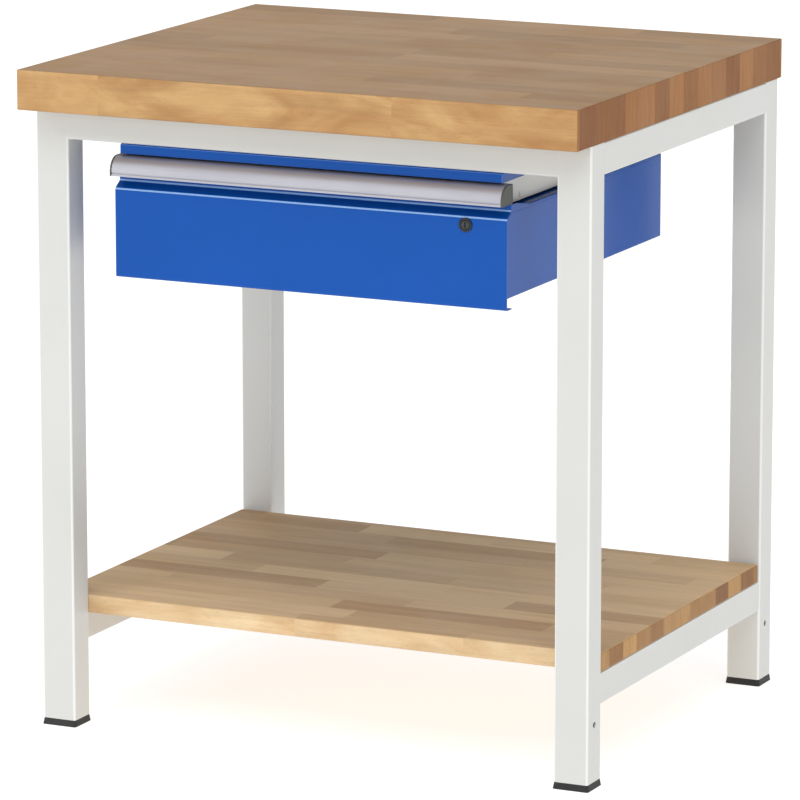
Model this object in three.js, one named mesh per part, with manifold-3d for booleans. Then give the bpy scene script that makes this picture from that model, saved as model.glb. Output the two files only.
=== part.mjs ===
// Workbench with a beech top, a beech lower shelf and one lockable drawer hung under the top.
// Millimetres, +Z up, +X to the right, the user stands at -Y. The origin is on the floor
// under the centre of the worktop.
import * as THREE from 'three';
import { mergeVertices } from 'three/addons/utils/BufferGeometryUtils.js';
import Module from 'manifold-3d';

// ---------------------------------------------------------------- driving dimensions

// Worktop and overall size
const BENCH_WIDTH = 750;
const BENCH_DEPTH = 650;
const BENCH_HEIGHT = 840;
const TOP_THICKNESS = 50;
const END_OVERHANG = 1;
const FRONT_OVERHANG = 45;
const REAR_OVERHANG = 9;

// Steel tube frame
const LEG_WIDTH = 45;
const LEG_DEPTH = 40;
const RAIL_HEIGHT = 40;
const RAIL_DEPTH = 30;
const TUBE_WALL = 2;
const TUBE_CORNER = 3;
const LOWER_RAIL_BOTTOM = 99.5;
const LOWER_RAIL_SETBACK = 1.5;
const LEG_HOLE_HEIGHT = 80;
const LEG_HOLE_RADIUS = 4;

// Plastic feet
const FOOT_HEIGHT = 8.4;
const FOOT_FLARE = 1.35;
const FOOT_PLUG_LENGTH = 18;
const FOOT_PLUG_WALL = 3;

// Shelf
const SHELF_THICKNESS = 24;
const SHELF_END_SETBACK = 1;
const SHELF_FRONT_GAP = 0.5;
const SHELF_REAR_GAP = 4;

// Wood screws through the rails, and machine screws through sheet
const SCREW_SHANK_RADIUS = 2.5;
const SCREW_HEAD_RADIUS = 4.5;
const SCREW_HEAD_HEIGHT = 3;
const SCREW_HOLE_CLEARANCE = 0.35;
const TOP_SCREW_BITE = 25;
const SHELF_SCREW_BITE = 15;
const RAIL_SCREW_INSET = 110;
const SHEET_SCREW_LENGTH = 10;

// Cross-members: shallow sheet trays, open below, that close off the drawer bay
const TRAY_INSET = 6.3;
const TRAY_LENGTH = 63;
const TRAY_HEIGHT = 12.1;
const TRAY_WALL = 1.5;
const TRAY_SETBACK = 2;
const TRAY_SCREW_SPACING = 300;

// Hanger rails, which carry the slides between the cross-members
const HANGER_INSET = 14.3;
const HANGER_WALL = 2;
const HANGER_FLANGE = 14;
const HANGER_DROP = 1.5;
const HANGER_END_INSET = 14;
const HANGER_BOLT_SETBACK = 20;
const HANGER_SLOT_WIDTH = 2.4;
const HANGER_SLOT_HEIGHT = 7;
const HANGER_SLOT_INSET = 45;

// Full-extension ball slides
const SLIDE_LENGTH = 450;
const SLIDE_HEIGHT = 27;
const SLIDE_THICKNESS = 12.7;
const SLIDE_WALL = 1.2;
const SLIDE_BALL_GAP = 1.8;
const SLIDE_FRONT_SETBACK = 22;

// Drawer box
const DRAWER_WIDTH = 528.6;
const DRAWER_DEPTH = 474;
const DRAWER_SIDE_HEIGHT = 107;
const DRAWER_SHEET = 1.2;
const DRAWER_SETBACK = 1;
const DRAWER_CLEARANCE = 2.5;
const UPSTAND_LENGTH = 410;
const EAR_RISE = 6;
const EAR_LENGTH = 6;

// Front panel, folded from one sheet, with a slanted recess under the handle
const PANEL_DROP = 14;
const PANEL_FACE_HEIGHT = 111;
const PANEL_LIP = 15;
const RECESS_DEPTH = 12.5;
const RECESS_RISE = 8;
const BEND_RADIUS = 1.2;

// Aluminium handle profile
const HANDLE_GAP = 2.6;
const HANDLE_HEIGHT = 24;
const HANDLE_REACH = 14;
const HANDLE_WALL = 2;
const HANDLE_LEG = 2.5;
const HANDLE_LIP = 3.5;
const HANDLE_ROUND = 18;
const GROOVE_DEPTH = 0.6;
const GROOVE_HEIGHT = 0.9;
const HANDLE_SCREW_PITCH = 110;
const HANDLE_SCREW_RADIUS = 1.9;
const HANDLE_SCREW_DROP = 2;
const HANDLE_SCREW_LENGTH = 6;
const HANDLE_SCREW_HEAD_RADIUS = 3.5;
const HANDLE_SCREW_HEAD_HEIGHT = 2.2;
const PANEL_BELOW_HANDLE_ROOF = 3;
const CAP_THICKNESS = 2.2;

// Cam lock
const LOCK_INSET = 54.3;
const LOCK_BELOW_FOLD = 10;
const LOCK_RING_RADIUS = 8.75;
const LOCK_RING_PROUD = 2;
const LOCK_RING_CHAMFER = 0.6;
const LOCK_PLUG_PROUD = 2.3;
const LOCK_BARREL_RADIUS = 8;
const LOCK_BARREL_LENGTH = 17;
const LOCK_BORE_RADIUS = 6;
const LOCK_PLUG_RADIUS = 5.75;
const LOCK_NUT_FLATS = 19;
const LOCK_NUT_THICKNESS = 4;
const KEYHOLE_WIDTH = 1.4;
const KEYHOLE_HEIGHT = 7.5;
const KEYHOLE_DEPTH = 9;
const CAM_THICKNESS = 2.5;
const CAM_HALF_WIDTH = 6;
const CAM_SQUARE = 6;
const CAM_ENGAGEMENT = 6;
const CAM_BEHIND_BARREL = 1.7;
const CAM_SCREW_LENGTH = 7;
const CAM_SCREW_HEAD_RADIUS = 4.6;
const CAM_SCREW_HEAD_HEIGHT = 2.4;
const CAM_THREAD_DEPTH = 8;
const STRIKER_WIDTH = 16;
const STRIKER_WALL = 1.5;
const STRIKER_FLANGE = 12;
const STRIKER_LIFT = 0.4;
const STRIKER_TO_CAM = 0.5;

// Gap kept between two solids that touch
const TOUCH = 0.3;

// ---------------------------------------------------------------- derived places

const frameTop = BENCH_HEIGHT - TOP_THICKNESS;
const railBottom = frameTop - RAIL_HEIGHT;
const legOuterX = BENCH_WIDTH / 2 - END_OVERHANG;
const legCentreX = legOuterX - LEG_WIDTH / 2;
const legInnerX = legOuterX - LEG_WIDTH;
const frameFront = -BENCH_DEPTH / 2 + FRONT_OVERHANG;
const frameRear = BENCH_DEPTH / 2 - REAR_OVERHANG;
const sideRailX = legOuterX - RAIL_DEPTH / 2;
const lowerRailX = sideRailX - LOWER_RAIL_SETBACK;
const betweenLegsFront = frameFront + LEG_DEPTH;
const betweenLegsRear = frameRear - LEG_DEPTH;
const shelfBottom = LOWER_RAIL_BOTTOM + RAIL_HEIGHT + TOUCH;
const holeRadius = SCREW_SHANK_RADIUS + SCREW_HOLE_CLEARANCE;

const trayTop = railBottom - TOUCH;
const trayBottom = trayTop - TRAY_HEIGHT;
const trayFront = frameFront + TRAY_SETBACK;
const trayRear = frameRear - TRAY_SETBACK;
const trayPlateBottom = trayTop - TRAY_WALL;

const drawerHalf = DRAWER_WIDTH / 2;
const trayHalf = drawerHalf - TRAY_INSET;
const hangerOuterX = drawerHalf - HANGER_INSET;
const hangerTop = trayPlateBottom - TOUCH;
const handleTop = trayBottom - HANDLE_GAP;
const slideTop = handleTop;
const slideCentre = slideTop - SLIDE_HEIGHT / 2;
const hangerBottom = slideTop - SLIDE_HEIGHT - HANGER_DROP;
const slideOuterX = hangerOuterX - HANGER_WALL - TOUCH;
const slideInnerX = slideOuterX - SLIDE_THICKNESS;

const drawerFront = frameFront + DRAWER_SETBACK;
const drawerSideTop = hangerBottom - DRAWER_CLEARANCE;
const drawerBottom = drawerSideTop - DRAWER_SIDE_HEIGHT;
const slideFront = drawerFront + SLIDE_FRONT_SETBACK;
const upstandX = slideInnerX - TOUCH;
const hangerFront = slideFront - 1;
const hangerRear = trayRear - HANGER_END_INSET;

// Places inside the drawer, from the panel's face and the underside of the box
const panelBottom = -PANEL_DROP;
const foldHeight = panelBottom + PANEL_FACE_HEIGHT;
const handleTopInDrawer = handleTop - drawerBottom;
const handleBottomInDrawer = handleTopInDrawer - HANDLE_HEIGHT;
const panelTop = handleTopInDrawer - HANDLE_WALL - PANEL_BELOW_HANDLE_ROOF;
const uprightBack = RECESS_DEPTH + DRAWER_SHEET;
const handleLegFront = uprightBack + TOUCH;
const handleBack = handleLegFront + HANDLE_LEG;
const capInnerX = drawerHalf - CAP_THICKNESS;
const handleHalf = capInnerX - TOUCH;
const lockX = drawerHalf - LOCK_INSET;
const lockZ = foldHeight - LOCK_BELOW_FOLD;
const camFront = LOCK_BARREL_LENGTH + CAM_BEHIND_BARREL;
const camBack = camFront + CAM_THICKNESS;
const strikerBottom = trayBottom + STRIKER_LIFT;
const camLength = strikerBottom + CAM_ENGAGEMENT - (drawerBottom + lockZ);

// ---------------------------------------------------------------- finishes

const finish = (color, roughness, metalness) => () =>
  new THREE.MeshStandardMaterial({ color, roughness, metalness });

const beechTop = finish(0xc79b66, 0.45, 0);
const beechShelf = finish(0xd6b184, 0.5, 0);
const greyPowderCoat = finish(0xe0e1dd, 0.4, 0.1);
const bluePowderCoat = finish(0x1f57b4, 0.35, 0.1);
const satinAluminium = finish(0xa9abad, 0.35, 0.9);
const capPlastic = finish(0x4a4d47, 0.5, 0);
const footPlastic = finish(0x15171a, 0.6, 0);
const zincSteel = finish(0xb4b6b6, 0.35, 0.9);
const lockBlack = finish(0x101113, 0.3, 0.1);
const lockMetal = finish(0x55585a, 0.3, 0.9);

// ---------------------------------------------------------------- solid helpers

const wasm = await Module();
wasm.setup();

// A closed geometry as a solid that can be cut and joined.
function solidOf(geometry) {
  const bare = new THREE.BufferGeometry();
  bare.setAttribute('position', geometry.getAttribute('position').clone());
  if (geometry.index) bare.setIndex(geometry.index.clone());
  const welded = mergeVertices(bare, 1e-4);
  const vertProperties = new Float32Array(welded.getAttribute('position').array);
  const triVerts = new Uint32Array(welded.index.array);
  return new wasm.Manifold(new wasm.Mesh({ numProp: 3, vertProperties, triVerts }));
}

function geometryOf(solid) {
  const { vertProperties, triVerts } = solid.getMesh();
  const geometry = new THREE.BufferGeometry();
  geometry.setAttribute('position', new THREE.BufferAttribute(new Float32Array(vertProperties), 3));
  geometry.setIndex(new THREE.BufferAttribute(new Uint32Array(triVerts), 1));
  geometry.computeVertexNormals();
  return geometry;
}

const cut = (body, ...tools) =>
  geometryOf(tools.reduce((solid, tool) => solid.subtract(solidOf(tool)), solidOf(body)));

const join = (body, ...additions) =>
  geometryOf(additions.reduce((solid, extra) => solid.add(solidOf(extra)), solidOf(body)));

// ---------------------------------------------------------------- shape helpers

const ARC_STEPS = 4;
const ROUND_STEPS = 24;

// Shape axes to object axes: the outline's x and y, then the direction of extrusion.
const ALONG_X = new THREE.Matrix4().makeBasis(
  new THREE.Vector3(0, 1, 0), new THREE.Vector3(0, 0, 1), new THREE.Vector3(1, 0, 0));
const ALONG_Y = new THREE.Matrix4().makeBasis(
  new THREE.Vector3(1, 0, 0), new THREE.Vector3(0, 0, 1), new THREE.Vector3(0, -1, 0));

const shapeOf = (points) => new THREE.Shape(points.map(([x, y]) => new THREE.Vector2(x, y)));

function extrude(shape, depth) {
  const options = { depth, bevelEnabled: false, curveSegments: ARC_STEPS, steps: 1 };
  return new THREE.ExtrudeGeometry(shape, options);
}

// A YZ outline between two X places, an XZ outline between two Y places, and so on.
const prismX = (shape, from, to) => extrude(shape, to - from).applyMatrix4(ALONG_X).translate(from, 0, 0);
const prismY = (shape, from, to) => extrude(shape, to - from).applyMatrix4(ALONG_Y).translate(0, to, 0);
const prismZ = (shape, from, to) => extrude(shape, to - from).translate(0, 0, from);

// A box between its lowest and highest corners.
function block(low, high) {
  const size = high.map((value, axis) => value - low[axis]);
  const middle = high.map((value, axis) => (value + low[axis]) / 2);
  return new THREE.BoxGeometry(...size).translate(...middle);
}

// A round bar along X, Y or Z between two places.
function bar(axis, radius, from, to, steps = ROUND_STEPS) {
  const geometry = new THREE.CylinderGeometry(radius, radius, to - from, steps);
  const middle = (from + to) / 2;
  if (axis === 'x') return geometry.rotateZ(-Math.PI / 2).translate(middle, 0, 0);
  if (axis === 'z') return geometry.rotateX(Math.PI / 2).translate(0, 0, middle);
  return geometry.translate(0, middle, 0);
}

function roundedRectangle(width, height, radius) {
  const x = width / 2 - radius;
  const y = height / 2 - radius;
  const shape = new THREE.Shape();
  shape.absarc(x, y, radius, 0, Math.PI / 2);
  shape.absarc(-x, y, radius, Math.PI / 2, Math.PI);
  shape.absarc(-x, -y, radius, Math.PI, Math.PI * 1.5);
  shape.absarc(x, -y, radius, Math.PI * 1.5, Math.PI * 2);
  return shape;
}

// Rectangular tube section with rounded corners.
function tubeSection(width, height) {
  const section = roundedRectangle(width, height, TUBE_CORNER);
  const bore = roundedRectangle(width - 2 * TUBE_WALL, height - 2 * TUBE_WALL, TUBE_CORNER - TUBE_WALL);
  section.holes.push(bore);
  return section;
}

// Outline of a folded sheet. The face follows the points, and the thickness lies on its left.
function foldedSheet(points, thickness, insideRadius) {
  const face = [];
  const back = [];
  const vectors = points.map(([x, y]) => new THREE.Vector2(x, y));
  const leftOf = (direction) => new THREE.Vector2(-direction.y, direction.x);
  vectors.forEach((point, index) => {
    const before = index > 0 ? point.clone().sub(vectors[index - 1]).normalize() : null;
    const after = index < vectors.length - 1 ? vectors[index + 1].clone().sub(point).normalize() : null;
    if (!before || !after) {
      const normal = leftOf(before ?? after);
      face.push(point);
      back.push(point.clone().addScaledVector(normal, thickness));
      return;
    }
    const turn = Math.atan2(before.cross(after), before.dot(after));
    const side = Math.sign(turn);
    const faceRadius = side > 0 ? insideRadius + thickness : insideRadius;
    const backRadius = faceRadius - side * thickness;
    const tangent = faceRadius * Math.tan(Math.abs(turn) / 2);
    const centre = point.clone().addScaledVector(before, -tangent)
      .addScaledVector(leftOf(before), side * faceRadius);
    for (let step = 0; step <= ARC_STEPS; step += 1) {
      const spoke = leftOf(before).multiplyScalar(-side)
        .rotateAround(new THREE.Vector2(), turn * step / ARC_STEPS);
      face.push(centre.clone().addScaledVector(spoke, faceRadius));
      back.push(centre.clone().addScaledVector(spoke, backRadius));
    }
  });
  return [...face, ...back.reverse()].map(({ x, y }) => [x, y]);
}

// Points on a quarter of an ellipse, from its lowest point's side round to its top.
function quarterEllipse(centreX, centreY, radiusX, radiusY, steps) {
  return Array.from({ length: steps + 1 }, (_, step) => {
    const angle = Math.PI - (Math.PI / 2) * (step / steps);
    return [centreX + radiusX * Math.cos(angle), centreY + radiusY * Math.sin(angle)];
  });
}

const mirrored = (points, side) => points.map(([x, y]) => [x * side, y]);

const addMesh = (parent, name, geometry, material, x = 0, y = 0, z = 0) => {
  const mesh = new THREE.Mesh(geometry, material);
  mesh.name = name;
  mesh.position.set(x, y, z);
  parent.add(mesh);
  return mesh;
};

// Screw along +Z with its head's bearing face at the origin and a socket in the head.
function screw(length, shankRadius = SCREW_SHANK_RADIUS, headRadius = SCREW_HEAD_RADIUS,
  headHeight = SCREW_HEAD_HEIGHT) {
  const socketRadius = headRadius * 0.45;
  const socketDepth = headHeight * 0.55;
  const crown = headRadius * 0.7;
  const profile = [
    [0, socketDepth - headHeight], [socketRadius, socketDepth - headHeight], [socketRadius, -headHeight],
    [crown, -headHeight], [headRadius, -headHeight * 0.55], [headRadius, 0], [shankRadius, 0],
    [shankRadius, length - shankRadius], [0, length],
  ];
  const points = profile.map(([radius, height]) => new THREE.Vector2(radius, height));
  return new THREE.LatheGeometry(points, 12).rotateX(Math.PI / 2);
}

const SIDES = [['left', -1], ['right', 1]];
const ENDS = [['front', -1], ['rear', 1]];

// ---------------------------------------------------------------- frame

const topScrewPlaces = ENDS.map(([end, sign]) => [end, sign > 0
  ? betweenLegsRear - RAIL_SCREW_INSET : betweenLegsFront + RAIL_SCREW_INSET]);

function buildWorktop(parent) {
  const slab = block([-BENCH_WIDTH / 2, -BENCH_DEPTH / 2, frameTop],
    [BENCH_WIDTH / 2, BENCH_DEPTH / 2, BENCH_HEIGHT]);
  const pilots = SIDES.flatMap(([, side]) => topScrewPlaces.map(([, y]) =>
    bar('z', holeRadius, frameTop - 1, frameTop + TOP_SCREW_BITE + 1).translate(side * sideRailX, y, 0)));
  addMesh(parent, 'worktop', cut(slab, ...pilots), beechTop());
}

function buildLegs(parent) {
  const length = frameTop - TOUCH - FOOT_HEIGHT - TOUCH;
  const bottom = FOOT_HEIGHT + TOUCH;
  for (const [sideName, side] of SIDES) {
    const tube = extrude(tubeSection(LEG_WIDTH, LEG_DEPTH), length);
    const outerWall = side * LEG_WIDTH / 2;
    const drill = bar('x', LEG_HOLE_RADIUS, outerWall - TUBE_WALL * 1.5, outerWall + TUBE_WALL * 1.5)
      .translate(0, 0, LEG_HOLE_HEIGHT - bottom);
    const leg = cut(tube, drill);
    for (const [endName, end] of ENDS) {
      const y = end < 0 ? frameFront + LEG_DEPTH / 2 : frameRear - LEG_DEPTH / 2;
      addMesh(parent, `leg_${endName}_${sideName}`, leg, greyPowderCoat(), side * legCentreX, y, bottom);
    }
  }
}

// Plug-in foot: a tapered cap under the tube and a plug inside it.
function footGeometry() {
  const flared = new THREE.CylinderGeometry(Math.SQRT1_2, Math.SQRT1_2, FOOT_HEIGHT, 4, 1)
    .rotateY(Math.PI / 4).rotateX(Math.PI / 2).translate(0, 0, FOOT_HEIGHT / 2);
  const corners = flared.getAttribute('position');
  for (let index = 0; index < corners.count; index += 1) {
    const flare = corners.getZ(index) < FOOT_HEIGHT / 2 ? 2 * FOOT_FLARE : 0;
    corners.setX(index, corners.getX(index) * (LEG_WIDTH + flare));
    corners.setY(index, corners.getY(index) * (LEG_DEPTH + flare));
  }
  const boreWidth = LEG_WIDTH - 2 * TUBE_WALL - 2 * TOUCH;
  const boreDepth = LEG_DEPTH - 2 * TUBE_WALL - 2 * TOUCH;
  const plug = prismZ(roundedRectangle(boreWidth, boreDepth, TUBE_CORNER - TUBE_WALL),
    FOOT_HEIGHT - 1, FOOT_HEIGHT + FOOT_PLUG_LENGTH);
  const hollowWidth = boreWidth - 2 * FOOT_PLUG_WALL;
  const hollowDepth = boreDepth - 2 * FOOT_PLUG_WALL;
  const hollow = prismZ(roundedRectangle(hollowWidth, hollowDepth, TUBE_WALL),
    FOOT_HEIGHT, FOOT_HEIGHT + FOOT_PLUG_LENGTH + 1);
  return cut(join(flared, plug), hollow);
}

function buildFeet(parent) {
  const foot = footGeometry();
  for (const [sideName, side] of SIDES) {
    for (const [endName, end] of ENDS) {
      const y = end < 0 ? frameFront + LEG_DEPTH / 2 : frameRear - LEG_DEPTH / 2;
      addMesh(parent, `foot_${endName}_${sideName}`, foot, footPlastic(), side * legCentreX, y, 0);
    }
  }
}

function buildLongRails(parent) {
  const half = legInnerX - TOUCH;
  const tube = prismX(tubeSection(RAIL_DEPTH, RAIL_HEIGHT - TOUCH), -half, half);
  const wallHoles = SIDES.map(([, side]) =>
    bar('z', holeRadius, -RAIL_HEIGHT, 0).translate(side * TRAY_SCREW_SPACING / 2, 0, 0));
  const rail = cut(tube, ...wallHoles);
  const z = railBottom + (RAIL_HEIGHT - TOUCH) / 2;
  addMesh(parent, 'top_rail_front', rail, greyPowderCoat(), 0, frameFront + RAIL_DEPTH / 2, z);
  addMesh(parent, 'top_rail_rear', rail, greyPowderCoat(), 0, frameRear - RAIL_DEPTH / 2, z);
}

function buildSideRails(parent) {
  const from = betweenLegsFront + TOUCH;
  const to = betweenLegsRear - TOUCH;
  const section = tubeSection(RAIL_DEPTH, RAIL_HEIGHT - TOUCH);
  const drills = topScrewPlaces.map(([, y]) =>
    bar('z', holeRadius, -RAIL_HEIGHT, RAIL_HEIGHT).translate(0, y, 0));
  const rail = cut(prismY(section, from, to), ...drills);
  const halfHeight = (RAIL_HEIGHT - TOUCH) / 2;
  for (const [sideName, side] of SIDES) {
    addMesh(parent, `top_rail_${sideName}`, rail, greyPowderCoat(),
      side * sideRailX, 0, railBottom + halfHeight);
    addMesh(parent, `lower_rail_${sideName}`, rail, greyPowderCoat(),
      side * lowerRailX, 0, LOWER_RAIL_BOTTOM + TOUCH + halfHeight);
  }
}

function buildShelf(parent) {
  const half = legOuterX - SHELF_END_SETBACK;
  const board = block([-half, betweenLegsFront + SHELF_FRONT_GAP, shelfBottom],
    [half, betweenLegsRear - SHELF_REAR_GAP, shelfBottom + SHELF_THICKNESS]);
  const pilots = SIDES.flatMap(([, side]) => topScrewPlaces.map(([, y]) =>
    bar('z', holeRadius, shelfBottom - 1, shelfBottom + SHELF_SCREW_BITE + 1)
      .translate(side * lowerRailX, y, 0)));
  addMesh(parent, 'shelf', cut(board, ...pilots), beechShelf());
}

// Long wood screws pass up through both walls of a rail into the board above it.
function buildBoardScrews(parent) {
  const topScrew = screw(RAIL_HEIGHT + TOUCH + TOP_SCREW_BITE);
  const shelfScrew = screw(RAIL_HEIGHT + TOUCH + SHELF_SCREW_BITE);
  for (const [sideName, side] of SIDES) {
    for (const [endName, y] of topScrewPlaces) {
      addMesh(parent, `worktop_screw_${endName}_${sideName}`, topScrew, zincSteel(),
        side * sideRailX, y, railBottom - TOUCH);
      addMesh(parent, `shelf_screw_${endName}_${sideName}`, shelfScrew, zincSteel(),
        side * lowerRailX, y, LOWER_RAIL_BOTTOM);
    }
  }
}

// ---------------------------------------------------------------- drawer suspension

// Tray with its closed end towards -Y: top plate, front flange and two side flanges.
function trayGeometry() {
  const outer = block([-trayHalf, 0, 0], [trayHalf, TRAY_LENGTH, TRAY_HEIGHT]);
  const inner = block([TRAY_WALL - trayHalf, TRAY_WALL, -1],
    [trayHalf - TRAY_WALL, TRAY_LENGTH + 1, TRAY_HEIGHT - TRAY_WALL]);
  const railHoles = SIDES.map(([, side]) => bar('z', holeRadius, 0, TRAY_HEIGHT + 1)
    .translate(side * TRAY_SCREW_SPACING / 2, RAIL_DEPTH / 2 - TRAY_SETBACK, 0));
  const hangerHoles = SIDES.map(([, side]) => bar('z', holeRadius, 0, TRAY_HEIGHT + 1)
    .translate(side * (hangerOuterX - HANGER_FLANGE / 2), TRAY_LENGTH - HANGER_BOLT_SETBACK, 0));
  return cut(outer, inner, ...railHoles, ...hangerHoles);
}

function buildTrays(parent) {
  const tray = trayGeometry();
  addMesh(parent, 'cross_member_front', tray, bluePowderCoat(), 0, trayFront, trayBottom);
  const rear = addMesh(parent, 'cross_member_rear', tray, bluePowderCoat(), 0, trayRear, trayBottom);
  rear.rotation.z = Math.PI;
}

const hangerBoltPlaces = [['front', trayFront + TRAY_LENGTH - HANGER_BOLT_SETBACK],
  ['rear', trayRear - TRAY_LENGTH + HANGER_BOLT_SETBACK]];

// Hanger: an upright web with a flange at the top turned inwards.
function hangerGeometry(side) {
  const section = foldedSheet([[hangerOuterX, hangerBottom], [hangerOuterX, hangerTop],
    [hangerOuterX - HANGER_FLANGE, hangerTop]], HANGER_WALL, BEND_RADIUS);
  const rail = prismY(shapeOf(mirrored(section, side)), hangerFront, hangerRear);
  const boltX = side * (hangerOuterX - HANGER_FLANGE / 2);
  const boltDrill = bar('z', holeRadius, hangerTop - 2 * HANGER_WALL, hangerTop + 1);
  const boltHoles = hangerBoltPlaces.map(([, y]) => boltDrill.clone().translate(boltX, y, 0));
  const slotX = side * (hangerOuterX - HANGER_WALL / 2);
  const slotZ = hangerBottom + HANGER_SLOT_HEIGHT;
  const slotPlaces = [slideFront + HANGER_SLOT_INSET, slideFront + SLIDE_LENGTH - HANGER_SLOT_INSET];
  const slots = slotPlaces.map((y) =>
    block([-HANGER_WALL, -HANGER_SLOT_WIDTH / 2, -HANGER_SLOT_HEIGHT / 2],
      [HANGER_WALL, HANGER_SLOT_WIDTH / 2, HANGER_SLOT_HEIGHT / 2]).translate(slotX, y, slotZ));
  return cut(rail, ...boltHoles, ...slots);
}

function buildHangers(parent) {
  const bolt = screw(SHEET_SCREW_LENGTH);
  for (const [sideName, side] of SIDES) {
    addMesh(parent, `hanger_${sideName}`, hangerGeometry(side), greyPowderCoat());
    const x = side * (hangerOuterX - HANGER_FLANGE / 2);
    const z = hangerTop - HANGER_WALL - TOUCH;
    for (const [endName, y] of hangerBoltPlaces) {
      addMesh(parent, `hanger_bolt_${endName}_${sideName}`, bolt, zincSteel(), x, y, z);
    }
  }
}

function buildTrayScrews(parent) {
  const bolt = screw(SHEET_SCREW_LENGTH);
  for (const [sideName, side] of SIDES) {
    const x = side * TRAY_SCREW_SPACING / 2;
    const z = trayPlateBottom - TOUCH;
    for (const [endName, end] of ENDS) {
      const y = end < 0 ? frameFront + RAIL_DEPTH / 2 : frameRear - RAIL_DEPTH / 2;
      addMesh(parent, `cross_screw_${endName}_${sideName}`, bolt, zincSteel(), x, y, z);
    }
  }
}

// The three nested members of a slide, seen from the front, x measured inwards from the hanger.
function slideSections() {
  const wall = SLIDE_WALL;
  const outer = SLIDE_HEIGHT / 2;
  const middle = outer - wall - SLIDE_BALL_GAP;
  const inner = middle - wall - SLIDE_BALL_GAP;
  const webX = SLIDE_THICKNESS / 2 - wall / 2;
  const lip = SLIDE_THICKNESS - wall - SLIDE_BALL_GAP;
  const lipStart = wall + SLIDE_BALL_GAP;
  const fixed = [[0, -outer], [lip, -outer], [lip, wall - outer], [wall, wall - outer],
    [wall, outer - wall], [lip, outer - wall], [lip, outer], [0, outer]];
  const upperHalf = [[webX + wall, middle - wall], [lip, middle - wall], [lip, middle],
    [lipStart, middle], [lipStart, middle - wall], [webX, middle - wall]];
  const lowerHalf = upperHalf.map(([x, y]) => [x, -y]).reverse();
  const middleMember = [...upperHalf, ...lowerHalf];
  const drawerLip = webX + wall + SLIDE_BALL_GAP / 2;
  const drawerMember = [[SLIDE_THICKNESS, -inner], [SLIDE_THICKNESS, inner], [drawerLip, inner],
    [drawerLip, inner - wall], [SLIDE_THICKNESS - wall, inner - wall],
    [SLIDE_THICKNESS - wall, wall - inner], [drawerLip, wall - inner], [drawerLip, -inner]];
  return { fixed, middle: middleMember, drawer: drawerMember };
}

function buildSlides(parent) {
  for (const [sideName, side] of SIDES) {
    for (const [memberName, section] of Object.entries(slideSections())) {
      const member = prismY(shapeOf(mirrored(section, -side)), 0, SLIDE_LENGTH);
      addMesh(parent, `slide_${memberName}_${sideName}`, member, zincSteel(),
        side * slideOuterX, slideFront, slideCentre);
    }
  }
}

// Catch for the lock cam: a tab that hangs inside the front cross-member.
function buildStriker(parent) {
  const tabBack = drawerFront + camFront - STRIKER_TO_CAM;
  const height = hangerTop - strikerBottom;
  const path = [[tabBack, 0], [tabBack, height], [tabBack - STRIKER_FLANGE, height]];
  const section = foldedSheet(path, STRIKER_WALL, BEND_RADIUS);
  const striker = prismX(shapeOf(section), -STRIKER_WIDTH / 2, STRIKER_WIDTH / 2);
  addMesh(parent, 'lock_striker', striker, zincSteel(), lockX, 0, strikerBottom);
}

// ---------------------------------------------------------------- drawer

// Side wall: its front edge follows the folded panel, and an ear rises behind the handle.
function drawerSideOutline() {
  const front = DRAWER_SHEET + TOUCH;
  const uprightFront = uprightBack + TOUCH;
  const earBack = slideFront - drawerFront + EAR_LENGTH;
  return [[front, 0], [DRAWER_DEPTH, 0], [DRAWER_DEPTH, DRAWER_SIDE_HEIGHT],
    [DRAWER_DEPTH - UPSTAND_LENGTH, DRAWER_SIDE_HEIGHT], [earBack, DRAWER_SIDE_HEIGHT + EAR_RISE],
    [uprightFront, DRAWER_SIDE_HEIGHT + EAR_RISE], [uprightFront, foldHeight + RECESS_RISE - 1],
    [front, foldHeight - 1]];
}

function drawerBoxGeometry() {
  const sheet = DRAWER_SHEET;
  const front = sheet + TOUCH;
  const upstandTop = handleTopInDrawer - 1;
  const floor = block([-drawerHalf, front, 0], [drawerHalf, DRAWER_DEPTH, sheet]);
  const back = block([-drawerHalf, DRAWER_DEPTH - sheet, 0], [drawerHalf, DRAWER_DEPTH, DRAWER_SIDE_HEIGHT]);
  const walls = SIDES.flatMap(([, side]) => {
    const outer = side * drawerHalf;
    const inner = side * (drawerHalf - sheet);
    const sideWall = prismX(shapeOf(drawerSideOutline()), Math.min(outer, inner), Math.max(outer, inner));
    const flangeStart = DRAWER_DEPTH - UPSTAND_LENGTH;
    const hookPath = [[drawerHalf - sheet / 2, DRAWER_SIDE_HEIGHT], [upstandX, DRAWER_SIDE_HEIGHT],
      [upstandX, upstandTop]];
    const hookSection = foldedSheet(hookPath, sheet, BEND_RADIUS);
    const hook = prismY(shapeOf(mirrored(hookSection, side)), flangeStart, DRAWER_DEPTH);
    return [sideWall, hook];
  });
  return join(floor, back, ...walls);
}

function panelGeometry() {
  const path = [[PANEL_LIP, panelBottom], [0, panelBottom], [0, foldHeight],
    [RECESS_DEPTH, foldHeight + RECESS_RISE], [RECESS_DEPTH, panelTop]].reverse();
  const sheet = prismX(shapeOf(foldedSheet(path, DRAWER_SHEET, BEND_RADIUS)), -drawerHalf, drawerHalf);
  const lockHole = bar('y', LOCK_BARREL_RADIUS + TOUCH, -1, DRAWER_SHEET * 2).translate(lockX, 0, lockZ);
  const notches = SIDES.map(([, side]) => block([-CAP_THICKNESS - 1, 0, handleBottomInDrawer - TOUCH],
    [CAP_THICKNESS + 1, handleBack, panelTop + 1]).translate(side * drawerHalf, 0, 0));
  return cut(sheet, lockHole, ...notches, ...handleScrewHoles());
}

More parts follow.
